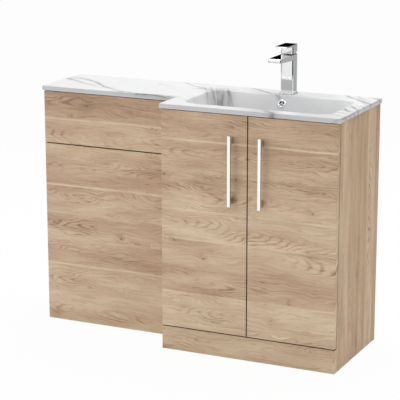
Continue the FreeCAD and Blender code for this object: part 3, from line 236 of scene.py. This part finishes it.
def oak_figure(oak, along, across, seed):
    number, height, streak, dusk = planks(oak, along, across, seed)
    luck = oak.node("ShaderNodeTexWhiteNoise", {"noise_dimensions": "1D"}, {"W": number}, "Color")
    red = oak.node("ShaderNodeSeparateColor", {}, {0: luck})
    green = red.output("Green")
    blue = red.output("Blue")
    slow = oak.noise(oak.point(along * 4.6, across * 13, number), 1.0, 2.0)
    sway = oak.noise(oak.point(along * 11, across * 52, number), 1.0, 2.0)
    cells = oak.point(along * 8 + seed * 3.1, across * 11 + number * 0.37, 0.0)
    knot = oak.node("ShaderNodeTexVoronoi", {"voronoi_dimensions": "2D"}, {"Vector": cells, "Scale": 1.0})
    draw = oak.node("ShaderNodeSeparateColor", {}, {0: knot.output("Color")})
    chosen = draw > KNOT_DRAW
    round_knot = (1 - knot * 3.2).clamp() * chosen
    offset = height - PITH_HEIGHT + (green - 0.5) * 0.05
    bend = (slow - 0.5) * 0.080 + (sway - 0.5) * 0.016 + round_knot * 0.012
    offset = offset + bend
    tilt = 0.045 + 0.085 * red
    lean = (along - (blue - 0.5) * 0.95) * tilt
    rings = (offset * offset + lean * lean).root() * RING_RATE
    uneven = oak.noise(oak.point(along * 5, across * 40, number + 11), 1.0, 3.0)
    wave = (rings + slow * 6 + uneven * 9).sine() * 0.5 + 0.5
    patches = oak.noise(oak.point(along * 3, across * 14, number + 5), 1.0, 2.0)
    strength = ((patches - 0.47) * 4.5).clamp()
    core = ((1 - knot * (14 + 22 * draw.output("Green"))) * 1.6).clamp() * chosen
    return wave ** 3.6 * strength, red, dusk, streak, core, round_knot, bend


# %% The whole oak finish
# How far the painted shade beside each gap reaches onto the board.
GAP_SHADE_FADE = 0.0011


def make_oak(name, along_axis, across_axes, shift, seed, narrow=1.0, drift=0.0, gaps=(), tint=None):
    oak = Finish(name)
    axis = dict(zip("xyz", oak.axes()))
    along = axis[along_axis]
    across = (axis[across_axes[0]] + abs(axis[across_axes[1]])) * narrow + shift
    wave, tone, dusk, streak, core, round_knot, bend = oak_figure(oak, along, across, seed)
    flow = across + bend
    fibre = oak.noise(oak.point(along * 9, flow * 430, seed), 1.0, 4.0)
    grain = oak.noise(oak.point(along * 6, flow * 150, seed + 4.0), 1.0, 5.0)
    fleck = ((oak.noise(oak.point(along * 34, flow * 230, seed), 1.0, 2.0) - 0.57) * 7).clamp()
    cloud = oak.noise(oak.point(along * 3.4, across * 15, seed + 9.0), 1.0, 5.0)
    shade = 0.665 + (tone - 0.5) * 0.30 + (cloud - 0.5) * 1.2 - wave * 0.60 - dusk * 0.16
    shade = shade + (across - 0.4) * drift
    shade = shade + (fibre - 0.5) * 0.55 + (grain - 0.5) * 0.85 - fleck * 0.24 - round_knot * 0.25
    stops = [(0.0, paint(136, 111, 90, OAK_LIFT)), (0.34, paint(174, 145, 118, OAK_LIFT)),
             (0.62, paint(193, 168, 140, OAK_LIFT)), (1.0, paint(212, 193, 165, OAK_LIFT))]
    body = oak.node("ShaderNodeValToRGB", {"stops": stops}, {0: shade})
    blush = ((oak.noise(oak.point(along * 2.6, across * 11, seed + 21.0), 1.0, 3.0) - 0.5) * 4).clamp()
    body = oak.mix(blush * 0.30 + (1 - tone) * 0.16, body, paint(183, 150, 124, OAK_LIFT))
    body = oak.mix(streak * 0.92, body, paint(222, 207, 180, OAK_LIFT))
    body = oak.mix(core * 0.50, body, paint(104, 80, 62))
    # Painted shade: the board edges beside each gap are darkened, for the shade that falls in the gap.
    dark = 0.0
    for letter, middle, half in gaps:
        dark = ((half + GAP_SHADE_FADE - abs(axis[letter] - middle)) * (1 / GAP_SHADE_FADE)).clamp() + dark
    if gaps:
        body = oak.mix(dark.clamp() * 0.7, body, paint(70, 50, 34))
    # Painted shade where a tint is given: the oak is multiplied darker, as on the side boards.
    if tint:
        multiply = {"data_type": "RGBA", "blend_type": "MULTIPLY"}
        body = oak.node("ShaderNodeMix", multiply, {0: 1.0, 6: body, 7: tint}, 2)
    oak.set(Base_Color=body, Roughness=0.44 + fibre * 0.16, Specular_IOR_Level=0.35)
    oak.bump(fibre - fleck * 0.6 - wave * 0.2, 0.25, 0.0003)
    return oak.material


def gap_between(letter, first, second):
    """The axis, the middle and the half width of the gap from one node to the next along an axis."""
    place = "xyz".index(letter)
    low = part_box(first)[1][place]
    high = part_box(second)[0][place]
    return letter, (low + high) / 2, (high - low) / 2


DOOR_FACE_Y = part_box("left_door")[0][1]
TOILET_FACE_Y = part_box("wc_lower_panel")[0][1]
# The gaps between boards, where make_oak paints shade on the edges beside them.
door_gap = gap_between("x", "left_door", "right_door")
plinth_gap = gap_between("z", "vanity_plinth", "left_door")
panel_gap = gap_between("z", "wc_lower_panel", "wc_access_panel")
hinge_gap = gap_between("y", "right_door", "vanity_side_right")
DOOR_SEED = 2.0
TOILET_SEED = 31.0
SIDE_SEED = 57.0
INNER_SEED = 83.0
# Painted shade on the side faces: their oak is made darker and warmer than the fronts'.
SIDE_SHADE_TINT = (0.912, 0.864, 0.796, 1)
front_oak = make_oak("pale_oak_doors", "x", "zy", DOOR_FACE_Y, DOOR_SEED, drift=-0.42,
                     gaps=(door_gap, plinth_gap, hinge_gap))
plinth_oak = make_oak("pale_oak_plinth", "x", "zy", DOOR_FACE_Y, DOOR_SEED, drift=0.22,
                      gaps=(plinth_gap,))
toilet_oak = make_oak("pale_oak_toilet_fronts", "x", "zy", TOILET_FACE_Y, TOILET_SEED, drift=-0.40,
                      gaps=(panel_gap,))
side_oak = make_oak("pale_oak_sides", "z", "yx", -0.62, SIDE_SEED, narrow=1.7, tint=SIDE_SHADE_TINT)
inner_oak = make_oak("pale_oak_inner_boards", "x", "yz", 0.1, INNER_SEED)
print("oak finishes made, doors start at y =", round(DOOR_FACE_Y, 4))

# %% [markdown]
# ## Cast marble-effect top
# The top and bowl are one casting of resin and stone dust. The grey veins are a print that lies over
# it from above, folded over the outer edges, so on the steep bowl walls it stretches. A vein is a
# straight run bent by shared noise, sharp at its heart and soft at its edges, fading at both ends.

# %% One vein
def vein(marble, x, y, start, end, width, strength):
    run = Vector(end) - Vector(start)
    length = run.length
    ux, uy = run / length
    forward = (x - start[0]) * ux + (y - start[1]) * uy
    aside = abs((y - start[1]) * ux - (x - start[0]) * uy)
    ends = (forward * 18 + 0.4).clamp() * ((length - forward) * 14 + 0.4).clamp()
    heart = (1 - aside * (1 / width)).clamp()
    haze = (1 - aside * (0.22 / width)).clamp() ** 2.0 * 0.42
    return (heart * 1.15).clamp().larger(haze) * ends * strength


# %% Where the main veins run, seen from above
# Each row gives a vein's two ends, the half width of its heart and its strength.
TOILET_VEINS = (
    ((-0.575, 0.115), (-0.370, 0.006), 0.0040, 0.75),
    ((-0.530, 0.130), (-0.440, 0.098), 0.0060, 0.60),
    ((-0.470, 0.117), (-0.262, -0.046), 0.0050, 1.0),
    ((-0.300, -0.040), (-0.090, -0.056), 0.0050, 0.90),
    ((-0.190, -0.046), (-0.050, -0.044), 0.0050, 0.80),
    ((-0.572, 0.098), (-0.500, 0.110), 0.0042, 0.75),
    ((-0.574, 0.142), (-0.518, 0.136), 0.0036, 0.70),
    ((-0.556, 0.120), (-0.498, 0.076), 0.0034, 0.60),
)
BACK_VEINS = (
    ((-0.157, 0.205), (-0.022, 0.115), 0.0040, 0.7),
    ((-0.129, 0.205), (0.025, 0.190), 0.0036, 0.55),
    ((0.104, 0.206), (0.232, 0.112), 0.0036, 0.85),
    ((0.222, 0.130), (0.246, 0.100), 0.0050, 0.90),
    ((0.130, 0.150), (0.190, 0.128), 0.0030, 0.5),
    ((-0.085, 0.118), (-0.015, 0.120), 0.0040, 0.80),
    ((0.050, 0.160), (0.092, 0.126), 0.0036, 0.50),
)
BOWL_STRANDS = (
    ((0.010, 0.155), (0.065, 0.020), 0.0190, 0.50),
    ((-0.026, 0.145), (0.036, 0.040), 0.0170, 0.46),
    ((-0.060, 0.160), (0.020, 0.030), 0.0050, 0.40),
    ((-0.034, 0.160), (0.046, 0.040), 0.0050, 0.36),
    ((0.014, 0.170), (0.072, 0.010), 0.0060, 0.26),
    ((0.034, 0.150), (0.090, 0.060), 0.0060, 0.46),
    ((-0.012, 0.165), (0.056, 0.030), 0.0034, 0.32),
    ((0.030, 0.160), (0.086, 0.040), 0.0034, 0.42),
)
FRONT_VEINS = (
    ((0.272, -0.124), (0.362, -0.200), 0.0150, 0.50),
    ((0.290, -0.140), (0.352, -0.190), 0.0060, 0.42),
    ((0.325, -0.186), (0.425, -0.198), 0.0055, 0.42),
)
RIGHT_VEINS = (
    ((0.418, 0.214), (0.540, 0.098), 0.0042, 0.90),
    ((0.470, 0.180), (0.556, 0.060), 0.0030, 0.5),
    ((0.500, 0.045), (0.572, -0.048), 0.0055, 0.90),
    ((0.470, 0.205), (0.526, 0.140), 0.0044, 0.90),
    ((0.505, 0.204), (0.560, 0.182), 0.0044, 0.85),
    ((0.490, 0.008), (0.552, 0.020), 0.0042, 0.85),
    ((0.498, -0.005), (0.545, -0.070), 0.0050, 0.90),
    ((0.496, -0.078), (0.566, -0.108), 0.0034, 0.75),
    ((0.506, -0.038), (0.574, -0.072), 0.0036, 0.80),
    ((0.494, -0.118), (0.572, -0.150), 0.0032, 0.65),
    ((0.520, 0.052), (0.582, 0.018), 0.0034, 0.65),
    ((0.512, 0.120), (0.582, 0.078), 0.0036, 0.72),
    ((0.530, 0.200), (0.584, 0.150), 0.0036, 0.65),
)
EDGE_STREAKS = (
    ((0.554, -0.205), (0.555, 0.020), 0.0040, 0.30),
    ((0.540, -0.212), (0.572, -0.110), 0.0045, 0.34),
    ((0.554, 0.010), (0.555, 0.200), 0.0040, 0.24),
)
VEINS = TOILET_VEINS + BACK_VEINS + BOWL_STRANDS + FRONT_VEINS + RIGHT_VEINS + EDGE_STREAKS


TOP_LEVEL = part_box("tap_foot")[0][2]
BOWL_MIDDLE_X = 0.25
BOWL_HALF_LENGTH = 0.262
BOWL_FRONT_Y = -0.148
EDGE_DEPTH = 0.02


def make_marble(name):
    marble = Finish(name)
    x, y, z = marble.axes()
    outside = ((abs(x - BOWL_MIDDLE_X) > BOWL_HALF_LENGTH) + ((BOWL_FRONT_Y - y) > 0.0)).clamp()
    fold = (z - TOP_LEVEL).larger(-EDGE_DEPTH) * outside
    x = x - fold
    y = y + fold
    plan = marble.point(x, y, 0.0)
    wander = marble.noise(plan, 13.0, 4.0).output("Color")
    bend = marble.node("ShaderNodeSeparateColor", {}, {0: wander})
    wide = marble.node("ShaderNodeSeparateColor", {}, {0: marble.noise(plan, 3.5, 2.0).output("Color")})
    bx = x + (bend - 0.5) * 0.034 + (wide - 0.5) * 0.03
    by = y + (bend.output("Green") - 0.5) * 0.034 + (wide.output("Green") - 0.5) * 0.03
    veins = 0.0
    for start, end, width, strength in VEINS:
        veins = vein(marble, bx, by, start, end, width, strength) + veins
    hair = marble.noise(marble.point(bx * 5 + by * 6.6, by * 2.6 - bx * 2, 4.0), 1.6, 5.0)
    hair = (1 - abs(hair - 0.5) * 42).clamp() * ((marble.noise(plan, 4.2, 2.0) - 0.52) * 4).clamp()
    broken = (marble.noise(plan, 26.0, 3.0) * 2.4 - 0.30).clamp()
    grey = (veins * broken + hair * 0.34).clamp()
    cloud = marble.noise(plan, 5.0, 4.0)
    ground = marble.mix(cloud, (0.69, 0.69, 0.695, 1), (0.645, 0.647, 0.655, 1))
    colour = marble.mix(grey * 0.94, ground, (0.10, 0.102, 0.108, 1))
    marble.set(Base_Color=colour, Roughness=0.26 + cloud * 0.10 + grey * 0.05, Specular_IOR_Level=0.15)
    marble.bump(marble.noise(marble.point(x, y, z), 46.0, 2.0), 0.02, 0.0004)
    return marble.material


marble_top = make_marble("cast_marble")
print("main veins:", len(VEINS))

# %% [markdown]
# ## Metal, plastic and rubber
# Chrome on a tap is a mirror with a trace of water marks. Plated steel is duller, with fine drawing
# lines. Plastics and rubber have a soft moulded grain. One function covers these, since only colour,
# roughness, grain size and metal share differ.

# %% Plain finishes with grain and wear
def make_plain(name, colour, worn, rough, metal, grain, relief):
    plain = Finish(name)
    x, y, z = plain.axes()
    place = plain.point(x, y, z)
    marks = plain.noise(place, 38.0, 4.0)
    fine = plain.noise(place, grain, 3.0)
    handled = ((marks - 0.52) * 4).clamp()
    tint = plain.mix(handled * 0.5 + fine * 0.2, colour, worn)
    plain.set(Base_Color=tint, Roughness=rough + handled * rough * 0.6 + fine * rough * 0.3, Metallic=metal)
    plain.bump(fine, relief, 0.0002)
    return plain.material


chrome = make_plain("chrome_plate", (0.86, 0.865, 0.875, 1), (0.82, 0.825, 0.84, 1),
                    rough=0.045, metal=1.0, grain=240.0, relief=0.01)
# Painted shade: the tap's foot gets a darker, duller chrome than the tap, for the grey shade round its
# base.
painted_shade_foot_chrome = make_plain("foot_chrome_painted_shade", (0.50, 0.505, 0.515, 1), (0.44, 0.445, 0.46, 1),
                         rough=0.16, metal=1.0, grain=300.0, relief=0.02)
zinc = make_plain("zinc_plate", (0.62, 0.63, 0.65, 1), (0.50, 0.49, 0.46, 1),
                  rough=0.30, metal=1.0, grain=900.0, relief=0.15)
nickel = make_plain("hinge_nickel", (0.66, 0.65, 0.61, 1), (0.55, 0.53, 0.48, 1),
                    rough=0.22, metal=1.0, grain=700.0, relief=0.08)
dark_brass = make_plain("oiled_brass", (0.060, 0.050, 0.038, 1), (0.10, 0.08, 0.05, 1),
                        rough=0.45, metal=1.0, grain=1100.0, relief=0.12)
brass = make_plain("machined_brass", (0.72, 0.52, 0.24, 1), (0.55, 0.38, 0.17, 1),
                   rough=0.26, metal=1.0, grain=1100.0, relief=0.12)
white_plastic = make_plain("white_plastic", (0.78, 0.78, 0.76, 1), (0.70, 0.69, 0.66, 1),
                           rough=0.42, metal=0.0, grain=1500.0, relief=0.1)
buffer_pad = make_plain("soft_buffer_pad", (0.74, 0.75, 0.76, 1), (0.62, 0.62, 0.61, 1),
                        rough=0.28, metal=0.0, grain=600.0, relief=0.05)
rubber = make_plain("black_rubber", (0.030, 0.030, 0.031, 1), (0.055, 0.054, 0.053, 1),
                    rough=0.70, metal=0.0, grain=1300.0, relief=0.2)
print("plain finishes made")


# %% Handles: bright bars, with painted shade on the legs
def make_handle_chrome(name, bar_y):
    bow = Finish(name)
    x, y, z = bow.axes()
    marks = bow.noise(bow.point(x, y, z), 60.0, 4.0)
    # Painted shade: behind the bar's face the legs turn darker and rougher, for the shade of the bar around
    # them.
    behind = ((y - bar_y) * 700).clamp()
    bow.set(Base_Color=bow.mix(behind, (0.97, 0.97, 0.975, 1), (0.60, 0.57, 0.54, 1)), Metallic=1.0)
    bow.set(Roughness=0.05 + marks * 0.04 + behind * 0.12)
    bow.bump(marks, 0.01, 0.0002)
    return bow.material


BAR_FACE_DEPTH = 0.0012
handle_chrome_painted_leg_shade = make_handle_chrome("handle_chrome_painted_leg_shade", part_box("left_handle")[0][1] + BAR_FACE_DEPTH)


# %% Fluted beech and thin back board
def make_beech(name, pale, brown, along_axis):
    beech = Finish(name)
    axis = dict(zip("xyz", beech.axes()))
    others = [a for a in "xyz" if a != along_axis]
    place = beech.point(axis[along_axis] * 20, axis[others[0]] * 420, axis[others[1]] * 420)
    fibre = beech.noise(place, 1.0, 3.0)
    fleck = ((beech.noise(place, 2.6, 1.0) - 0.6) * 5).clamp()
    beech.set(Base_Color=beech.mix(fibre * 0.7 + fleck * 0.3, pale, brown), Roughness=0.5 + fibre * 0.2)
    beech.bump(fibre, 0.2, 0.0003)
    return beech.material


dowel_beech = make_beech("beech_dowel", paint(214, 180, 140), paint(176, 134, 92), "x")
back_facing = make_beech("thin_back_facing", paint(206, 186, 158), paint(190, 168, 140), "x")
print("beech and back board made")

# %% [markdown]
# ## Giving each node its finish
# The record names a material slot for every node. Most slots take one finish. The oak boards differ
# by how their grain runs, so those are named one by one.

# %% Finishes onto nodes
SLOT_FINISH = {
    "carcass_board": inner_oak, "back_board": back_facing, "beech_dowel": dowel_beech,
    "cast_marble": marble_top, "chrome": chrome, "zinc_steel": zinc, "hinge_nickel": nickel,
    "clear_buffer": buffer_pad, "white_plastic": white_plastic, "black_rubber": rubber, "brass": brass,
}
NODE_FINISH = {
    "vanity_side_left": side_oak, "vanity_side_right": side_oak, "wc_side_left": side_oak,
    "wc_side_right": side_oak, "vanity_plinth": plinth_oak, "left_door": front_oak,
    "right_door": front_oak, "wc_lower_panel": toilet_oak, "wc_access_panel": toilet_oak,
    "left_handle": handle_chrome_painted_leg_shade, "right_handle": handle_chrome_painted_leg_shade, "tap_foot": painted_shade_foot_chrome,
    "tap_cartridge_nut": dark_brass, "tap_swivel": dark_brass, "tap_stem": dark_brass,
}
for part in frame["record"]["subparts"]:
    node = part["node"]
    finish = NODE_FINISH.get(node) or SLOT_FINISH[part["material_slot"]]
    mesh = nodes[node].data
    mesh.materials.clear()
    mesh.materials.append(finish)

# %% [markdown]
# ## Cross-head screws
# Hinges and wall angles are held by small cross-head screws. A head is a low dome with a cross
# pressed into it. A disc of rings is easy to shape: each point's height comes from its distance to
# the centre, and points inside the cross sink.

# %% A screw head pressed from rings of points
RINGS = 9
ROUND = 32
CROSS_HALF_WIDTH = 0.13
CROSS_REACH = 0.58
CROSS_DEPTH = 0.85
CENTRE_LEVEL = 1 - CROSS_DEPTH


def head_height(radius, share, turn, dome):
    height = dome * (1 - share ** 2.6)
    px = abs(radius * share * math.cos(turn))
    py = abs(radius * share * math.sin(turn))
    in_cross = min(px, py) < radius * CROSS_HALF_WIDTH and max(px, py) < radius * CROSS_REACH
    return height - dome * CROSS_DEPTH if in_cross else height


def add_head(bm, radius, dome, place, outward):
    matrix = Vector((0, 0, 1)).rotation_difference(Vector(outward)).to_matrix().to_4x4()
    matrix = Matrix.Translation(place) @ matrix
    centre = bm.verts.new(matrix @ Vector((0, 0, dome * CENTRE_LEVEL)))
    inner = None
    for ring in range(1, RINGS + 1):
        share = ring / RINGS
        row = []
        for i in range(ROUND):
            turn = 2 * math.pi * i / ROUND
            level = head_height(radius, share, turn, dome)
            reach = radius * share
            point = Vector((reach * math.cos(turn), reach * math.sin(turn), level))
            row.append(bm.verts.new(matrix @ point))
        for i in range(ROUND):
            j = (i + 1) % ROUND
            corners = (centre, row[i], row[j]) if inner is None else (inner[i], row[i], row[j], inner[j])
            bm.faces.new(corners)
        inner = row


def finish_piece(name, bm, material, body):
    mesh = bpy.data.meshes.new(name)
    bm.to_mesh(mesh)
    bm.free()
    mesh.shade_smooth()
    piece = bpy.data.objects.new(name, mesh)
    bpy.context.scene.collection.objects.link(piece)
    mesh.materials.append(material)
    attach(piece, body)
    print(name, "has", len(mesh.polygons), "faces")
    return piece


def screws(name, heads, radius, dome, material, body):
    bm = bmesh.new()
    for place, outward in heads:
        add_head(bm, radius, dome, place, outward)
    return finish_piece(name, bm, material, body)


# %% Hinge screws and adjusters
MM = 0.001
VANITY_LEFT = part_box("vanity_side_left")[0][0]
VANITY_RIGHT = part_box("vanity_side_right")[1][0]
FRONT_EDGE_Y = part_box("vanity_side_left")[0][1]
HINGE_LEVELS = (0.181, 0.697)
PLATE_SURFACE = 21 * MM
ARM_SURFACE = 30 * MM
PLATE_SCREW_Y = FRONT_EDGE_Y + 39 * MM
PLATE_SCREW_UP = 18 * MM
ADJUSTER_BACKS = (14 * MM, 42 * MM)
plate_heads = []
adjusters = []
for edge, inward in ((VANITY_LEFT, 1), (VANITY_RIGHT, -1)):
    for level in HINGE_LEVELS:
        for up in (-PLATE_SCREW_UP, PLATE_SCREW_UP):
            place = (edge + inward * PLATE_SURFACE, PLATE_SCREW_Y, level + up)
            plate_heads.append((place, (inward, 0, 0)))
        for back in ADJUSTER_BACKS:
            place = (edge + inward * ARM_SURFACE, FRONT_EDGE_Y + back, level)
            adjusters.append((place, (inward, 0, 0)))
screws("hinge_plate_screws", plate_heads, 3.9 * MM, 1.3 * MM, zinc, "cabinet")
screws("hinge_adjusters", adjusters, 2.6 * MM, 0.6 * MM, nickel, "cabinet")

# %% Cup screws on each door
CUP_CENTRE = 21.5 * MM
CUP_FACE_Y = FRONT_EDGE_Y - 0.5 * MM
CUP_SCREW_UP = 22.3 * MM
for word, edge, inward in (("left", VANITY_LEFT, 1), ("right", VANITY_RIGHT, -1)):
    cup_heads = []
    for level in HINGE_LEVELS:
        for up in (-CUP_SCREW_UP, CUP_SCREW_UP):
            cup_heads.append(((edge + inward * CUP_CENTRE, CUP_FACE_Y, level + up), (0, 1, 0)))
    screws(word + "_cup_screws", cup_heads, 3.4 * MM, 0.3 * MM, zinc, word + "_door")

# %% Wall angle screws
ANGLE_T = 2 * MM
ANGLE_SCREW_BACK = 18 * MM
ANGLE_SCREW_LEVELS = (0.650, 0.670)
ANGLE_BOARDS = (("vanity_side_left", 1), ("vanity_side_right", -1),
                ("wc_side_left", 1), ("wc_side_right", -1))
angle_heads = []
for side, inward in ANGLE_BOARDS:
    low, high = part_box(side)
    face = high[0] if inward > 0 else low[0]
    for level in ANGLE_SCREW_LEVELS:
        place = (face + inward * ANGLE_T, high[1] - ANGLE_SCREW_BACK, level)
        angle_heads.append((place, (inward, 0, 0)))
screws("wall_angle_screws", angle_heads, 3.6 * MM, 1.2 * MM, zinc, "cabinet")

# %% [markdown]
# ## Screw threads
# The waste tail and the tap's stud are threaded. A thread is one ridge wound up a cylinder, so the
# piece is a ribbon of three points, root, crest and root, carried along a helix.

# %% A ridge wound up a cylinder
CREST_SHARE = 0.42
ROOT_SHARE = 0.84


def thread(name, centre, radius, rise, pitch, bottom, top, steps, material):
    bm = bmesh.new()
    turns = (top - bottom - pitch) / pitch
    count = int(turns * steps)
    before = None
    for i in range(count + 1):
        turn = 2 * math.pi * i / steps
        level = bottom + pitch * i / steps
        row = []
        for out, up in ((0, 0), (rise, pitch * CREST_SHARE), (0, pitch * ROOT_SHARE)):
            reach = radius + out
            place = (centre[0] + reach * math.cos(turn), centre[1] + reach * math.sin(turn), level + up)
            row.append(bm.verts.new(place))
        if before:
            for a in range(2):
                bm.faces.new((before[a], row[a], row[a + 1], before[a + 1]))
        before = row
    return finish_piece(name, bm, material, "cabinet")


waste_low, waste_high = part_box("waste_body")
waste_centre = ((waste_low[0] + waste_high[0]) / 2, (waste_low[1] + waste_high[1]) / 2)
waste_foot = waste_low[2] + 1 * MM
WASTE_THREAD_TOP = 0.668
thread("waste_tail_thread", waste_centre, radius=20.9 * MM, rise=0.55 * MM, pitch=2.3 * MM,
       bottom=waste_foot, top=WASTE_THREAD_TOP, steps=48, material=chrome)
stud_low, stud_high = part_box("tap_stud")
stud_centre = ((stud_low[0] + stud_high[0]) / 2, (stud_low[1] + stud_high[1]) / 2)
nut_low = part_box("tap_stud_nut")[0][2]
thread("tap_stud_thread", stud_centre, radius=3.98 * MM, rise=0.35 * MM, pitch=1.25 * MM,
       bottom=stud_low[2] + 1 * MM, top=nut_low, steps=24, material=zinc)

# %% [markdown]
# ## The aerator's screen
# Under the spout a woven screen mixes air into the water. A flat grid is trimmed to a disc, and the
# Wireframe modifier turns its edges into wires.

# %% A wire screen under the spout
air_low, air_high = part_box("tap_aerator")
air_x = (air_low[0] + air_high[0]) / 2
air_y = (air_low[1] + air_high[1]) / 2
SCREEN_R = 8.9 * MM
SCREEN_RISE = 0.6 * MM
SCREEN_LINES = 15
bm = bmesh.new()
bmesh.ops.create_grid(bm, x_segments=SCREEN_LINES, y_segments=SCREEN_LINES, size=SCREEN_R)
outside = [v for v in bm.verts if v.co.length > SCREEN_R]
bmesh.ops.delete(bm, geom=outside, context="VERTS")
bmesh.ops.translate(bm, verts=bm.verts, vec=(air_x, air_y, air_low[2] + SCREEN_RISE))
screen = finish_piece("aerator_screen", bm, nickel, "cabinet")
wires = screen.modifiers.new("wires", "WIREFRAME")
wires.thickness = 0.35 * MM

# %% [markdown]
# ## Studio
# The picture has a white ground and broad soft light from above and in front. The world is white to
# the camera and to mirrors, and a calmer grey as a source of light. The floor is nearly white and
# keeps a soft shadow.

# %% World
scene = bpy.context.scene
scene.view_settings.view_transform = "Standard"
world = bpy.data.worlds.new("studio")
scene.world = world
world.use_nodes = True
LIGHT_LEVEL = 0.555
SEEN_LEVEL = 1.0
sky = Graph(world.node_tree)
path = sky.node("ShaderNodeLightPath", {}, {}, "Is Camera Ray")
seen = (path + path.output("Is Glossy Ray") + path.output("Is Transmission Ray")).clamp()
sky_strength = sky.node("ShaderNodeMix", {}, {0: seen, 2: LIGHT_LEVEL, 3: SEEN_LEVEL})
background = sky.tree.nodes["Background"]
sky.feed(background.inputs["Color"], (1, 1, 1, 1))
sky.feed(background.inputs["Strength"], sky_strength)
print("world set")


# %% Floor
def stage_sheet(name, bm):
    mesh = bpy.data.meshes.new(name)
    bm.to_mesh(mesh)
    bm.free()
    sheet = bpy.data.objects.new(name, mesh)
    scene.collection.objects.link(sheet)
    return sheet


def flat(name, width, depth, matrix):
    bm = bmesh.new()
    right = width / 2
    back = depth / 2
    corners = [(-right, -back, 0), (right, -back, 0), (right, back, 0), (-right, back, 0)]
    bm.faces.new([bm.verts.new(matrix @ Vector(c)) for c in corners])
    return stage_sheet(name, bm)


FLOOR_SIDE = 40
FLOOR_DROP = 0.5 * MM
floor_paint = Finish("white_floor")
floor_paint.set(Base_Color=(0.86, 0.86, 0.86, 1), Roughness=0.9, Specular_IOR_Level=0.0)
ray = floor_paint.node("ShaderNodeLightPath", {}, {}, "Is Camera Ray")
lift = (ray * 0.955 + ray.output("Is Glossy Ray") * 0.9 + ray.output("Is Transmission Ray") * 0.9).clamp()
white = floor_paint.node("ShaderNodeEmission", {}, {"Color": (1, 1, 1, 1), "Strength": 1.0})
blend = {0: lift, 1: Wire(floor_paint, floor_paint.shader.outputs[0]), 2: white}
surface = floor_paint.node("ShaderNodeMixShader", {}, blend)
ending = floor_paint.tree.nodes["Material Output"]
floor_paint.feed(ending.inputs["Surface"], surface)
floor = flat("studio_floor", FLOOR_SIDE, FLOOR_SIDE, Matrix.Translation((0, 0, -FLOOR_DROP)))
floor.data.materials.append(floor_paint.material)
print("floor laid")


# %% Lamps
def lamp(name, place, aim, width, depth, power):
    data = bpy.data.lights.new(name, "AREA")
    data.shape = "RECTANGLE"
    data.size = width
    data.size_y = depth
    data.energy = power
    holder = bpy.data.objects.new(name, data)
    holder.location = place
    holder.rotation_euler = (Vector(aim) - Vector(place)).to_track_quat("-Z", "Y").to_euler()
    scene.collection.objects.link(holder)
    return holder


lamp("overhead", (0.2, 1.1, 3.3), (0.1, 0.0, 0.8), 3.6, 2.4, 79)
lamp("front_fill", (-1.6, -3.6, 1.9), (0.0, 0.0, 0.5), 2.6, 2.2, 32)
print("lamps set")

# %% [markdown]
# ## Cards around the tap
# Polished chrome only shows what stands around it. Photographers hold cards where a face should go
# dark. A black card stands behind the tap where its flat tops look. Bands curve round both sides and
# give the rounded corners their dark or grey lines. Grey cards tone the right-hand faces and the
# top of the spout, and two lie across the bowl, where the column looks. Only mirrors see them.

# %% Cards that only mirrors see
def hide_from_all_but_mirrors(sheet, grey):
    finish = Finish(sheet.name)
    finish.set(Base_Color=(0.0, 0.0, 0.0, 1), Roughness=1.0, Specular_IOR_Level=0.0)
    finish.set(Emission_Color=(1, 1, 1, 1), Emission_Strength=grey)
    sheet.data.materials.append(finish.material)
    sheet.visible_camera = False
    sheet.visible_diffuse = False
    sheet.visible_shadow = False
    sheet.visible_transmission = False


def card(name, centre, facing, width, height, grey):
    turn = Vector(facing).to_track_quat("Z", "Y").to_matrix().to_4x4()
    hide_from_all_but_mirrors(flat(name, width, height, Matrix.Translation(centre) @ turn), grey)


BAND_STEPS = 24


def band(name, centre, radius, first, last, low, high, grey):
    bm = bmesh.new()
    rows = []
    for i in range(BAND_STEPS + 1):
        turn = math.radians(first + (last - first) * i / BAND_STEPS)
        x = centre[0] + radius * math.sin(turn)
        y = centre[1] - radius * math.cos(turn)
        rows.append((bm.verts.new((x, y, low)), bm.verts.new((x, y, high))))
    for a, b in zip(rows, rows[1:]):
        bm.faces.new((a[0], b[0], b[1], a[1]))
    hide_from_all_but_mirrors(stage_sheet(name, bm), grey)


card("card_behind_tap", (0.0246, 0.715, 1.09), (0.376, -0.927, 0.0), 0.36, 0.32, 0.0)
card("card_back_right", (0.50, 0.78, 0.72), (-0.375, -0.927, 0.0), 0.36, 0.56, 0.44)
card("card_front_left", (-0.30, -1.22, 1.18), (0.376, 0.927, 0.0), 0.5, 0.26, 0.62)
card("card_over_bowl", (0.25, -0.042, TOP_LEVEL - 0.001), (0, 0, 1), 0.52, 0.212, 0.50)
card("card_in_bowl", (0.25, -0.03, TOP_LEVEL - 0.045), (0, 0, 1), 0.40, 0.14, 0.50)
band("band_at_right", (0.27, 0.135), 1.45, 24, 126, 0.62, 0.80, 0.01)
band("band_at_left", (0.27, 0.0), 1.45, -150, -36, 0.58, 0.75, 0.34)
band("dark_band_at_left", (0.27, 0.0), 1.40, -150, -36, 0.675, 0.715, 0.01)
print("cards set")

# %% [markdown]
# ## Camera
# A long lens keeps upright edges upright. The camera stands to the right of the front and looks
# slightly down. A small shift frames the unit as in the picture.

# %% Camera
eye = Vector((2.2254, -4.7138, 1.7624))
aim = Vector((0.0, 0.02775, 0.430))
view = bpy.data.cameras.new("camera")
view.sensor_width = 36
view.lens = 146.8
view.shift_x = -0.0057
view.shift_y = 0.0217
camera = bpy.data.objects.new("camera", view)
camera.location = eye
camera.rotation_euler = (aim - eye).to_track_quat("-Z", "Y").to_euler()
scene.collection.objects.link(camera)
scene.camera = camera
print("camera distance:", round((aim - eye).length, 3))

# %% Update the scene
bpy.context.view_layer.update()
